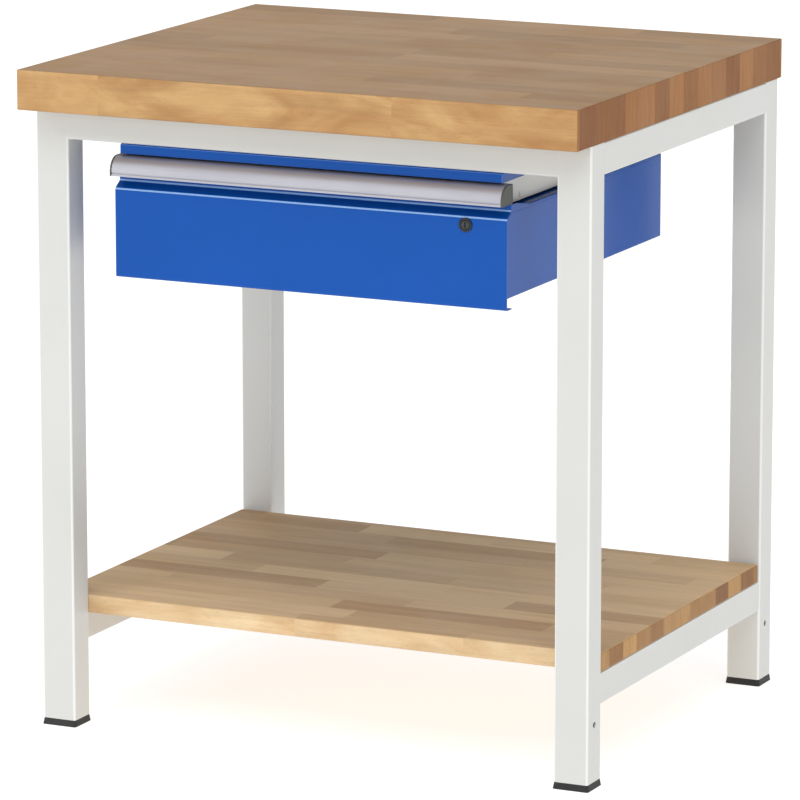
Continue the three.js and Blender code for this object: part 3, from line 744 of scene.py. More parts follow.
def draw_peel(graph: Graph, given: dict) -> dict:
    """The fine orange peel of a baked powder coat, and its slow change of thickness."""
    fine = graph.noise(given["Place"], 950.0, detail=1, rough=0.4)
    broad = graph.noise(given["Place"], 260.0, detail=2, rough=0.5)
    height = graph.math("MULTIPLY_ADD", fine, 0.55, graph.math("MULTIPLY", broad, 0.45))
    return {"Height": height, "Cloud": graph.noise(given["Place"], 6.0, detail=3, rough=0.55)}


def draw_handling(graph: Graph, given: dict) -> dict:
    """Soft smudges and dust from use, which change how sharply a surface shines."""
    smear = graph.drawn_noise(given["Place"], (7.0, 11.0, 9.0), detail=4, rough=0.6, distortion=0.3)
    speck = graph.noise(given["Place"], 1400.0, detail=1, rough=0.3)
    return {"Smudge": graph.remap(smear, 0.36, 0.7, smooth=True), "Speck": graph.remap(speck, 0.66, 0.74)}


def draw_brushing(graph: Graph, given: dict) -> dict:
    """Drawing lines of rolled or extruded metal; the stretch is small along the lines."""
    lines = graph.drawn_noise(given["Place"], given["Stretch"], detail=4, rough=0.7)
    grains = graph.noise(given["Place"], 2600.0, detail=1, rough=0.5)
    return {"Lines": lines, "Grain": grains}


def draw_edge_wear_and_arris_tint(graph: Graph, given: dict) -> dict:
    """Masks of sharp edges: a whole one, which tints the arris of wood and is a painted highlight on the
    shelf, and one broken up so that it isn't even, for rubbed wear on coats.
    """
    rounded = graph.node("Bevel", {"Radius": given["Radius"]}, samples=4).outputs[0]
    flat = graph.node("NewGeometry").outputs["Normal"]
    turn = graph.node("VectorMath", {0: rounded, 1: flat}, operation="DOT_PRODUCT").outputs["Value"]
    edge = graph.remap(turn, 0.995, 0.86)
    broken = graph.remap(graph.noise(given["Place"], 140.0, detail=4, rough=0.6), 0.42, 0.62)
    return {"Edge": edge, "Worn": graph.math("MULTIPLY", edge, broken)}


def draw_painted_fold_highlights(graph: Graph, given: dict) -> dict:
    """A mask of rounded folds and corners that face up or sideways, where a coat gets a painted highlight in
    place of the lamps' reflection.
    """
    x, y, z = graph.split(graph.node("TexCoord").outputs["Normal"])
    level = graph.math("MAXIMUM", graph.math("ABSOLUTE", x), graph.math("ABSOLUTE", y))
    squarest = graph.math("MAXIMUM", level, graph.math("ABSOLUTE", z))
    off_flat = graph.remap(squarest, 0.992, 0.955)
    off_slope = graph.remap(z, given["Slope"], graph.math("ADD", given["Slope"], 0.06), 1.0, 0.0)
    upwards = graph.remap(z, -0.25, -0.1)
    return {"Fold": graph.math("MULTIPLY", upwards, graph.math("MULTIPLY", off_flat, off_slope))}


def staves_group() -> bpy.types.NodeTree:
    """The shared pattern of glued staves."""
    inputs = {"Place": (0.0, 0.0, 0.0), "Width": 0.045, "Length": 0.35, "Seed": 0.0}
    return group_of("glued_staves", inputs, ["Tone", "Shade", "Line"], draw_staves)


def beech_group() -> bpy.types.NodeTree:
    """The shared beech grain."""
    outputs = ["Streak", "Fine", "Fleck", "Cloud", "Ring", "Pore", "Ray"]
    return group_of("beech_grain", {"Place": (0.0, 0.0, 0.0), "Tone": 0.5}, outputs, draw_beech)


def peel_group() -> bpy.types.NodeTree:
    """The shared surface of powder coats."""
    return group_of("orange_peel", {"Place": (0.0, 0.0, 0.0)}, ["Height", "Cloud"], draw_peel)


def handling_group() -> bpy.types.NodeTree:
    """The shared smudges and dust."""
    return group_of("handling", {"Place": (0.0, 0.0, 0.0)}, ["Smudge", "Speck"], draw_handling)


def brushing_group() -> bpy.types.NodeTree:
    """The shared drawing lines of metals."""
    inputs = {"Place": (0.0, 0.0, 0.0), "Stretch": (8.0, 900.0, 900.0)}
    return group_of("drawing_lines", inputs, ["Lines", "Grain"], draw_brushing)


def edge_wear_and_arris_tint_group() -> bpy.types.NodeTree:
    """The shared masks of sharp edges, for rubbed wear and for a tinted arris."""
    return group_of("edge_wear_and_arris_tint", {"Place": (0.0, 0.0, 0.0), "Radius": 0.002}, ["Edge", "Worn"], draw_edge_wear_and_arris_tint)


def painted_fold_highlights_group() -> bpy.types.NodeTree:
    """The shared mask of folds that get a painted highlight."""
    return group_of("painted_fold_highlights", {"Slope": 0.58}, ["Fold"], draw_painted_fold_highlights)


# ------------------------------------------------------------------ finishes


COAT_DUST = "#e8e6e0"
COAT_RUB = "#d8dade"
PLASTIC_DUST = "#a8a49b"


@dataclass(frozen=True)
class Finish:
    """A finish that makes one material and names the slot that it belongs to."""

    name: str
    slot: str

    def material(self) -> bpy.types.Material:
        """The finish's material, made the first time that it is asked for."""
        if self.name in bpy.data.materials:
            return bpy.data.materials[self.name]
        material = bpy.data.materials.new(self.name)
        material.use_nodes = True
        graph = Graph(material.node_tree)
        self.paint(graph, material.node_tree.nodes["Principled BSDF"])
        return material

    def paint(self, graph: Graph, shader: bpy.types.Node) -> None:
        """Draw the finish's nodes; each kind of finish has its own way."""
        raise NotImplementedError


@dataclass(frozen=True)
class Beech(Finish):
    """Glued beech staves: top, long edges and end grain each have a light and a dark tone."""

    top: tuple[str, str]
    edge: tuple[str, str]
    end: tuple[str, str]
    stave_width: float
    stave_length: float
    seed: float
    contrast: float
    line: float
    # The tint along sharp edges; on the shelf it is a painted highlight.
    arris: str
    roughness: float = 0.45
    specular: float = 0.32
    edge_mask_radius: float = 2.2 * MM

    def paint(self, graph: Graph, shader: bpy.types.Node) -> None:
        """Tones by stave, grain within each stave, dark glue lines and an oiled surface."""
        place = graph.place()
        facing_x, facing_y, _ = graph.facing()
        on_end = graph.remap(facing_x, 0.5, 0.8)
        on_edge = graph.remap(facing_y, 0.5, 0.8)
        staves = use_group(graph, staves_group(), Place=place, Width=self.stave_width,
                           Length=self.stave_length, Seed=self.seed)
        grain = use_group(graph, beech_group(), Place=place, Tone=staves["Tone"])
        flat = self.tone_on(graph, self.top, self.spread(graph, staves["Tone"], self.contrast))
        edge = self.tone_on(graph, self.edge, graph.remap(grain["Cloud"], 0.34, 0.68))
        end = self.tone_on(graph, self.end, staves["Shade"])
        wood = graph.mix(on_end, graph.mix(on_edge, flat, edge), end)
        streaks = graph.remap(grain["Streak"], 0.3, 0.72, 0.90, 1.09)
        fine = graph.remap(grain["Fine"], 0.25, 0.75, 0.955, 1.04)
        along = graph.math("MULTIPLY", streaks, fine)
        ringed = graph.math("MULTIPLY", graph.remap(grain["Ring"], 0.0, 1.0, 0.96, 1.03),
                            graph.remap(grain["Pore"], 0.3, 0.7, 0.92, 1.06))
        ringed = graph.math("MULTIPLY", ringed, graph.remap(grain["Ray"], 0.3, 0.7, 0.86, 1.10))
        cut = graph.mix(on_end, along, ringed)
        wood = graph.mix(1.0, wood, cut, blend="MULTIPLY")
        flecks = graph.math("MULTIPLY", grain["Fleck"], graph.remap(on_end, 0.0, 1.0, 0.14, 0.0))
        wood = graph.mix(flecks, wood, colour(self.end[1]))
        glue = graph.math("MULTIPLY", staves["Line"], graph.math("MULTIPLY_ADD", on_end, 0.30, self.line))
        hidden = graph.math("SUBTRACT", 1.0, on_edge)
        wood = graph.mix(graph.math("MULTIPLY", glue, hidden), wood, colour(self.end[1]))
        # A tint along sharp edges: on the shelf a painted highlight on its rounded arris, on the worktop a
        # darker line.
        edge_mask = use_group(graph, edge_wear_and_arris_tint_group(), Place=place, Radius=self.edge_mask_radius)
        wood = graph.mix(graph.math("MULTIPLY", edge_mask["Edge"], 0.4), wood, colour(self.arris))
        graph.feed(shader.inputs["Base Color"], wood)
        handling = use_group(graph, handling_group(), Place=place)
        rough = graph.remap(handling["Smudge"], 0.0, 1.0, self.roughness - 0.06, self.roughness + 0.08)
        graph.feed(shader.inputs["Roughness"], graph.math("ADD", rough, graph.math(
            "MULTIPLY", on_end, 0.18)))
        relief = graph.math("SUBTRACT", graph.math("ADD", grain["Fine"], graph.math(
            "MULTIPLY", grain["Streak"], 0.6)), graph.math("MULTIPLY", staves["Line"], 0.8))
        graph.feed(shader.inputs["Normal"], graph.bump(relief, 0.00012, 0.55))
        shader.inputs["Specular IOR Level"].default_value = self.specular

    def spread(self, graph: Graph, tone: Value, contrast: float) -> bpy.types.NodeSocket:
        """A stave's random tone, drawn in towards the middle where the contrast is low."""
        return graph.remap(tone, 0.0, 1.0, 0.5 - contrast / 2, 0.5 + contrast / 2)

    def tone_on(self, graph: Graph, tones: tuple[str, str], share: Value) -> bpy.types.NodeSocket:
        """A colour between a light and a dark tone."""
        return graph.mix(share, colour(tones[0]), colour(tones[1]))


@dataclass(frozen=True)
class PowderCoat(Finish):
    """Baked powder coat with its fine orange peel, and a highlight painted along its rounded folds and
    corners.
    """

    shade: str
    deep: str
    roughness: float
    # The painted highlight's tint, and how much of it lies along rounded folds and corners.
    burnish: str
    burnish_share: float
    slope: float = 0.58
    peel: float = 0.35
    specular: float = 0.5
    dust: float = 0.03
    edge_mask_radius: float = 1.2 * MM
    rub_share: float = 0.05

    def paint(self, graph: Graph, shader: bpy.types.Node) -> None:
        """A slowly changing colour, faint dust specks, a painted highlight along rounded folds and corners,
        and a relief that breaks up reflections.
        """
        place = graph.place()
        peel = use_group(graph, peel_group(), Place=place)
        handling = use_group(graph, handling_group(), Place=place)
        base = graph.mix(graph.remap(peel["Cloud"], 0.3, 0.7), colour(self.shade), colour(self.deep))
        speckled = graph.math("MULTIPLY", handling["Speck"], self.dust)
        base = graph.mix(speckled, base, colour(COAT_DUST))
        edge_mask = use_group(graph, edge_wear_and_arris_tint_group(), Place=place, Radius=self.edge_mask_radius)
        base = graph.mix(graph.math("MULTIPLY", edge_mask["Worn"], self.rub_share), base, colour(COAT_RUB))
        # Painted highlight: a lighter tint along rounded folds and corners, in place of the lamps' reflection
        # there.
        folds = use_group(graph, painted_fold_highlights_group(), Slope=self.slope)
        highlight_mask = graph.math("MULTIPLY", folds["Fold"], self.burnish_share)
        base = graph.mix(highlight_mask, base, colour(self.burnish))
        graph.feed(shader.inputs["Base Color"], base)
        graph.feed(shader.inputs["Roughness"], graph.remap(
            handling["Smudge"], 0.0, 1.0, self.roughness - 0.01, self.roughness + 0.02))
        graph.feed(shader.inputs["Normal"], graph.bump(peel["Height"], 0.00006, self.peel))
        shader.inputs["Specular IOR Level"].default_value = self.specular


@dataclass(frozen=True)
class Metal(Finish):
    """Drawn, rolled or plated metal with fine lines along one direction."""

    shade: str
    deep: str
    roughness: float
    stretch: Point
    metallic: float = 1.0
    relief: float = 0.25

    def paint(self, graph: Graph, shader: bpy.types.Node) -> None:
        """Lines in colour, roughness and relief, with smudges over them."""
        place = graph.place()
        lines = use_group(graph, brushing_group(), Place=place, Stretch=self.stretch)
        handling = use_group(graph, handling_group(), Place=place)
        graph.feed(shader.inputs["Base Color"], graph.mix(
            graph.remap(lines["Lines"], 0.3, 0.7), colour(self.shade), colour(self.deep)))
        spread = graph.math("MULTIPLY_ADD", handling["Smudge"], 0.08, self.roughness)
        rough = graph.math("ADD", spread, graph.remap(lines["Grain"], 0.2, 0.8, -0.03, 0.03))
        graph.feed(shader.inputs["Roughness"], rough)
        graph.feed(shader.inputs["Normal"], graph.bump(lines["Lines"], 0.00004, self.relief))
        shader.inputs["Metallic"].default_value = self.metallic


@dataclass(frozen=True)
class Moulded(Finish):
    """Moulded plastic with a fine spark-eroded grain and dust in it."""

    shade: str
    deep: str
    roughness: float
    relief: float = 0.4
    dust: float = 0.05

    def paint(self, graph: Graph, shader: bpy.types.Node) -> None:
        """A pebbled relief, a slow change of tone, and pale dust."""
        place = graph.place()
        peel = use_group(graph, peel_group(), Place=place)
        handling = use_group(graph, handling_group(), Place=place)
        pebble = graph.noise(place, 1800.0, detail=2, rough=0.5)
        base = graph.mix(graph.remap(peel["Cloud"], 0.3, 0.7), colour(self.shade), colour(self.deep))
        dusty = graph.math("MULTIPLY", graph.math("ADD", handling["Smudge"], handling["Speck"]), self.dust)
        graph.feed(shader.inputs["Base Color"], graph.mix(dusty, base, colour(PLASTIC_DUST)))
        graph.feed(shader.inputs["Roughness"], graph.remap(
            handling["Smudge"], 0.0, 1.0, self.roughness - 0.05, self.roughness + 0.1))
        graph.feed(shader.inputs["Normal"], graph.bump(pebble, 0.00005, self.relief))


@dataclass(frozen=True)
class StudioFloor(Finish):
    """A white floor that is lit from within, as a light table is, so that shadows on it stay faint."""

    shade: str = "#c3c3c2"
    deep: str = "#bebebc"
    glow: float = 0.7

    def paint(self, graph: Graph, shader: bpy.types.Node) -> None:
        """Two near-white tones in a slow cloud."""
        cloud = graph.noise(graph.place(), 0.8, detail=2)
        graph.feed(shader.inputs["Base Color"], graph.mix(cloud, colour(self.shade), colour(self.deep)))
        shader.inputs["Roughness"].default_value = 0.75
        shader.inputs["Specular IOR Level"].default_value = 0.2
        shader.inputs["Emission Color"].default_value = colour("#ffffff")
        shader.inputs["Emission Strength"].default_value = self.glow


ALONG_X = (8.0, 900.0, 900.0)
ALONG_Y = (900.0, 8.0, 900.0)
ALL_WAYS = (420.0, 420.0, 420.0)

TOP_BEECH = Beech("oiled_beech_top", "worktop_beech", top=("#b69168", "#9c7a55"), edge=("#cba26c", "#ad7e4c"),
                  end=("#aa7646", "#865630"), stave_width=0.0455, stave_length=0.33, seed=3.0, contrast=0.75,
                  line=0.16, arris="#6f4a2c")
# The shelf's light arris tint is a painted highlight.
SHELF_BEECH = Beech("lacquered_beech_shelf", "shelf_beech", top=("#dfbd8c", "#b58e62"),
                    edge=("#e6caa0", "#d3ae7f"), end=("#c39863", "#8b603d"), stave_width=0.0426,
                    stave_length=0.30, seed=11.0, contrast=0.9, line=0.2, arris="#ecd2a8", roughness=0.48)
# Each coat paints a highlight along rounded folds and corners: the grey one on the tubes' corners, the blue
# ones on the sheet's folds.
GREY_COAT = PowderCoat("grey_powder_coat", "frame_powder_coat", shade="#d6d7d4", deep="#d2d3cf",
                       roughness=0.3, burnish="#fbfcfa", burnish_share=0.6)
BLUE_COAT = PowderCoat("blue_powder_coat", "drawer_powder_coat", shade="#0552ae", deep="#044ea6",
                       roughness=0.2, burnish="#9cc6fa", burnish_share=0.2, peel=0.25, specular=0.19,
                       dust=0.012)
# The drawer's front is a copy of the blue coat with a strong painted highlight along its fold.
PANEL_COAT = replace(BLUE_COAT, name="panel_coat_painted_highlight", burnish_share=0.95)
HANDLE_METAL = Metal("satin_anodised_aluminium", "handle_aluminium", shade="#bfbfc8", deep="#b5b5be",
                     roughness=0.47, stretch=ALONG_X, metallic=0.8, relief=0.12)
CAP_PLASTIC = Moulded("moulded_cap_plastic", "cap_plastic", shade="#50554f", deep="#454a44", roughness=0.48)
FOOT_PLASTIC = Moulded("moulded_foot_plastic", "foot_plastic", shade="#17191c", deep="#101215",
                       roughness=0.55)
SLIDE_ZINC = Metal("rolled_zinc_steel", "zinc_steel", shade="#c3c6c8", deep="#9da1a4", roughness=0.3,
                   stretch=ALONG_Y)
SCREW_ZINC = Metal("plated_zinc_steel", "zinc_steel", shade="#c9ccca", deep="#a3a7a5", roughness=0.32,
                   stretch=ALL_WAYS)
LOCK_BLACK = Moulded("black_lock_ring", "lock_black", shade="#101114", deep="#0b0c0e", roughness=0.25,
                     relief=0.15, dust=0.02)
LOCK_METAL = Metal("turned_lock_metal", "lock_metal", shade="#55585a", deep="#3c3f42", roughness=0.3,
                   stretch=ALL_WAYS)


def dress(piece: bpy.types.Object, finish: Finish, body: str, *nodes: str) -> bpy.types.Object:
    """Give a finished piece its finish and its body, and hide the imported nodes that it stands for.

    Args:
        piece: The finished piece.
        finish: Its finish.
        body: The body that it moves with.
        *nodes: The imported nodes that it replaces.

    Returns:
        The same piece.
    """
    use_modifier(piece, "WEIGHTED_NORMAL", keep_sharp=True)
    piece.data.materials.clear()
    piece.data.materials.append(finish.material())
    take(piece)
    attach(piece, body)
    if nodes:
        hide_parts(*nodes)
    log.info("%s: %d faces, %s, on %s", piece.name, len(piece.data.polygons), finish.name, body)
    return piece


# ------------------------------------------------------------------ frame and boards


@dataclass
class Worktop:
    """The thick beech board that the user works on."""

    arris: float = 1.2 * MM
    arris_steps: int = 3

    def build(self) -> None:
        """Shape and dress the board."""
        board = block("beech_worktop", *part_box("worktop"))
        soften(board, self.arris, self.arris_steps)
        dress(board, TOP_BEECH, "frame", "worktop")


@dataclass
class Shelf:
    """The lower board, with rounder edges than the worktop's."""

    rounding: float = 3.0 * MM
    rounding_steps: int = 5

    def build(self) -> None:
        """Shape and dress the board."""
        board = block("beech_shelf", *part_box("shelf"))
        soften(board, self.rounding, self.rounding_steps)
        dress(board, SHELF_BEECH, "frame", "shelf")


@dataclass
class TubeFrame:
    """Four legs and six rails of welded rectangular tube."""

    corner: float = 3.0 * MM
    wall: float = 2.0 * MM
    hole_radius: float = 4.0 * MM
    hole_height: float = 80.0 * MM
    weld_radius: float = 2.3 * MM
    weld_taper: float = 0.45
    weld_tip: float = 0.6
    let_in: float = 2.1 * MM

    def build(self) -> None:
        """Make the legs and the rails."""
        for end, side in CORNERS:
            self.leg(end, side)
        for end in End:
            self.long_rail(end)
        for side in Side:
            self.side_rail(f"top_rail_{side.label}", side)
            self.side_rail(f"lower_rail_{side.label}", side)

    def leg(self, end: End, side: Side) -> None:
        """One leg, with the hole in its outer wall."""
        node = f"leg_{end.label}_{side.label}"
        low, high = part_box(node)
        leg = tube(f"steel_{node}", Axis.Z, low, high, self.corner, self.wall)
        outer = high.x if side is Side.RIGHT else low.x
        place = (outer, (low.y + high.y) / 2, self.hole_height)
        drill(leg, rod("leg_drill", Axis.X, place, self.hole_radius, self.wall * 3, 32))
        self.finish_tube(leg, node)

    def long_rail(self, end: End) -> None:
        """A rail between two legs, across the front or the rear."""
        node = f"top_rail_{end.label}"
        low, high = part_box(node)
        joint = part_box(f"leg_{end.label}_right")[0].x
        reach = Vector((joint + self.let_in - high.x, 0, 0))
        rail = tube(f"steel_{node}", Axis.X, low - reach, high + reach, self.corner, self.wall)
        inner = high.y if end is End.FRONT else low.y
        welds = []
        for x in (-joint, joint):
            welds.append(self.weld(Axis.Y, (x, (low.y + high.y) / 2, low.z), high.y - low.y))
            welds.append(self.weld(Axis.Z, (x, inner, (low.z + high.z) / 2), high.z - low.z))
        self.finish_tube(joined(rail.name, [rail, *welds]), node)

    def side_rail(self, node: str, side: Side) -> None:
        """A rail from the front leg to the rear leg."""
        low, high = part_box(node)
        joints = (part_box(f"leg_front_{side.label}")[1].y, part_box(f"leg_rear_{side.label}")[0].y)
        reach = Vector((0, joints[1] + self.let_in - high.y, 0))
        rail = tube(f"steel_{node}", Axis.Y, low - reach, high + reach, self.corner, self.wall)
        inner = low.x if side is Side.RIGHT else high.x
        welds = []
        for y in joints:
            welds.append(self.weld(Axis.X, ((low.x + high.x) / 2, y, low.z), high.x - low.x))
            welds.append(self.weld(Axis.Z, (inner, y, (low.z + high.z) / 2), high.z - low.z))
        self.finish_tube(joined(rail.name, [rail, *welds]), node)

    def weld(self, axis: Axis, centre: Point, length: float) -> bpy.types.Object:
        """A weld bead along an inside corner, shorter than the rail so that its round edges stay free."""
        bead = rod("weld", axis, centre, self.weld_radius, length - 4 * self.corner, 16)
        with editing(bead):
            pick(bead, "FACE", lambda face: abs(face.normal.dot(axis.vector)) > SQUARE_ON)
            bpy.ops.mesh.inset(thickness=self.weld_radius * self.weld_taper)
            for way in (-1, 1):
                pick(bead, "FACE", lambda face: face.normal.dot(axis.vector) * way > SQUARE_ON
                     and len(face.verts) > 4)
                bpy.ops.transform.translate(value=axis.vector * way * self.weld_radius * self.weld_tip)
        return bead

    def finish_tube(self, piece: bpy.types.Object, node: str) -> None:
        """Shade a tube and dress it."""
        dress(shade(piece), GREY_COAT, "frame", node)


@dataclass
class Feet:
    """Plastic feet: a tapered pad under each leg and a hollow plug inside it."""

    pad_height: float = 8.4 * MM
    corner: float = 3.2 * MM
    sole_edge: float = 0.8 * MM
    plug_inset: float = 2.4 * MM
    plug_wall: float = 3.0 * MM

    def build(self) -> None:
        """Make the four feet."""
        for end, side in CORNERS:
            self.foot(f"{end.label}_{side.label}")

    def climbs(self, edge: bmesh.types.BMEdge) -> bool:
        """Whether an edge climbs a corner of the pad."""
        return abs(edge.verts[0].co.z - edge.verts[1].co.z) > self.pad_height / 2

    def foot(self, corner_name: str) -> None:
        """One foot, under the leg of the same name."""
        low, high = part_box(f"foot_{corner_name}")
        leg_low, leg_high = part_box(f"leg_{corner_name}")
        centre = (low + high) / 2
        plug_height = high.z - self.pad_height
        foot = block(f"plastic_foot_{corner_name}", low, (high.x, high.y, self.pad_height))
        top = faces_towards((0, 0, 1))
        with editing(foot):
            pick(foot, "FACE", top)
            shrink = [(leg_high[way] - leg_low[way]) / (high[way] - low[way]) for way in (0, 1)]
            pivot = (centre.x, centre.y, self.pad_height)
            bpy.ops.transform.resize(value=(*shrink, 1), center_override=pivot)
            pick(foot, "EDGE", self.climbs)
            bpy.ops.mesh.bevel(offset=self.corner, segments=6, affect="EDGES")
            pick(foot, "EDGE", lambda edge: max(vert.co.z for vert in edge.verts) < MM)
            bpy.ops.mesh.bevel(offset=self.sole_edge, segments=3, affect="EDGES")
            pick(foot, "FACE", top)
            bpy.ops.mesh.inset(thickness=self.plug_inset)
            push(Vector((0, 0, plug_height)))
            bpy.ops.mesh.inset(thickness=self.plug_wall)
            push(Vector((0, 0, -plug_height)))
        dress(shade(foot), FOOT_PLASTIC, "frame", f"foot_{corner_name}")


# ------------------------------------------------------------------ drawer suspension


@dataclass
class Suspension:
    """Trays across the frame, the hangers between them and the lock's striker."""

    tray_wall: float = 1.5 * MM
    tray_corner: float = 2.2 * MM
    hanger_wall: float = 2.0 * MM
    bend: float = 2.4 * MM
    slot_width: float = 2.4 * MM
    slot_height: float = 7.0 * MM
    slot_places: Pair = (46.0 * MM, 406.0 * MM)
    striker_wall: float = 1.5 * MM
    edge: float = 0.25 * MM

    def build(self) -> None:
        """Make both trays, both hangers and the striker."""
        for end in End:
            self.tray(end)
        for side in Side:
            self.hanger(side)
        self.striker()

    def tray(self, end: End) -> None:
        """A shallow tray, open below and towards the middle of the bench."""
        node = f"cross_member_{end.label}"
        low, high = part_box(node)
        tray = block(f"sheet_{node}", low, high)
        with editing(tray):
            pick(tray, "FACE", lambda face: min(face.normal.z, face.normal.y * end.value) < -SQUARE_ON)
            bpy.ops.mesh.delete(type="FACE")
            pick(tray, "EDGE", lambda edge: len(edge.link_faces) == 2)
            bpy.ops.mesh.bevel(offset=self.tray_corner, segments=5, affect="EDGES")
        use_modifier(tray, "SOLIDIFY", thickness=self.tray_wall, offset=-1, use_even_offset=True)
        dress(shade(tray), BLUE_COAT, "frame", node)

    def hanger(self, side: Side) -> None:
        """An upright web with a flange turned inwards at its top and two slots near its lower edge."""
        node = f"hanger_{side.label}"
        low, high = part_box(node)
        outer, inner = (high.x, low.x) if side is Side.RIGHT else (low.x, high.x)
        path = [(outer, low.z), (outer, high.z), (inner, high.z)]
        hanger = sheet_metal(f"folded_{node}", Axis.Y, (low.y, high.y), path, self.hanger_wall,
                             (-side.value, 0, 0), self.bend)
        half = Vector((2 * self.hanger_wall, self.slot_width / 2, self.slot_height / 2))
        for place in self.slot_places:
            centre = Vector((outer, low.y + place, low.z + self.slot_height))
            drill(hanger, block("slot_cutter", centre - half, centre + half))
        soften(hanger, self.edge, 2, 60)
        dress(hanger, GREY_COAT, "frame", node)

    def striker(self) -> None:
        """The tab behind which the lock's cam swings up."""
        low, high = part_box("lock_striker")
        path = [(high.y, low.z), (high.y, high.z), (low.y, high.z)]
        striker = sheet_metal("folded_lock_striker", Axis.X, (low.x, high.x), path, self.striker_wall,
                              (0, -1, 0), self.bend)
        soften(striker, self.edge, 2, 60)
        dress(striker, SLIDE_ZINC, "frame", "lock_striker")


class Member(Enum):
    """The three members of a slide, with the body that carries each."""

    FIXED = "fixed"
    MIDDLE = "middle"
    DRAWER = "drawer"

    def body(self, side: Side) -> str:
        """The body that this member moves with."""
        return {Member.FIXED: "frame", Member.MIDDLE: f"slide_carriage_{side.label}",
                Member.DRAWER: "drawer"}[self]


@dataclass
class Slides:
    """Two full-extension ball slides, each of three nested members."""

    wall: float = 1.2 * MM
    bend: float = 0.9 * MM
    edge: float = 0.2 * MM
    rivet_radius: float = 2.6 * MM
    rivet_height: float = 0.5 * MM
    rivet_pitch: float = 96.0 * MM
    rivet_round: float = 0.8
    ball_radius: float = 0.85 * MM
    ball_pitch: float = 6.0 * MM
    ball_start: float = 20.0 * MM
    ball_run: int = 12

    def build(self) -> None:
        """Make the six members."""
        for side in Side:
            for member in Member:
                self.member(side, member)

    def member(self, side: Side, member: Member) -> None:
        """One member, in its own section."""
        node = f"slide_{member.value}_{side.label}"
        low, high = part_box(node)
        outer, inner = (high.x, low.x) if side is Side.RIGHT else (low.x, high.x)
        span = (low.y, high.y)
        if member is Member.MIDDLE:
            piece = self.carriage(node, span, (outer, inner), (low.z, high.z), side)
        else:
            back, lip = (outer, inner) if member is Member.FIXED else (inner, outer)
            way = -side.value if member is Member.FIXED else side.value
            path = [(lip, low.z), (back, low.z), (back, high.z), (lip, high.z)]
            piece = sheet_metal(f"rolled_{node}", Axis.Y, span, path, self.wall, (0, 0, 1), self.bend)
            soften(piece, self.edge, 2, 60)
            piece = joined(piece.name, [piece, *self.rivets(back + way * self.wall, way, low, high)])
        dress(piece, SLIDE_ZINC, member.body(side), node)

    def carriage(self, node: str, span: Pair, sides: Pair, heights: Pair, side: Side) -> bpy.types.Object:
        """The middle member: a web with a channel along its top and one along its bottom."""
        outer, inner = sides
        bottom, top = heights
        web = (outer + inner) / 2
        inside, outside = web - side.value * self.wall / 2, web + side.value * self.wall / 2
        roof, floor = top - self.wall, bottom + self.wall
        outline = [(outer, top), (inner, top), (inner, roof), (inside, roof), (inside, floor), (inner, floor),
                   (inner, bottom), (outer, bottom), (outer, floor), (outside, floor), (outside, roof),
                   (outer, roof)]
        piece = prism(f"rolled_{node}", Axis.Y, span, outline)
        soften(piece, self.edge, 2, 60)
        return joined(piece.name, [piece, *self.balls(span, (bottom, top), web)])

    def rivets(self, face: float, way: int, low: Vector, high: Vector) -> list[bpy.types.Object]:
        """Rivet heads along the web of a member."""
        middle_z = (low.z + high.z) / 2
        heads = []
        place = low.y + self.rivet_pitch / 3
        while place < high.y - self.rivet_radius:
            head = rod("rivet", Axis.X, (face, place, middle_z), self.rivet_radius, 2 * self.rivet_height, 20)
            heads.append(soften(head, self.rivet_height * self.rivet_round, 2))
            place += self.rivet_pitch
        return heads

    def balls(self, span: Pair, heights: Pair, web: float) -> list[bpy.types.Object]:
        """Two runs of balls above and below the middle member, near its front end."""
        made = []
        for z in (heights[0] - self.ball_radius, heights[1] + self.ball_radius):
            for index in range(self.ball_run):
                let_go()
                place = (web, span[0] + self.ball_start + index * self.ball_pitch, z)
                bpy.ops.mesh.primitive_uv_sphere_add(segments=12, ring_count=8, radius=self.ball_radius,
                                                     location=place)
                ball = settle(bpy.context.object)
                bpy.ops.object.shade_smooth()
                made.append(ball)
        return made


# ------------------------------------------------------------------ drawer


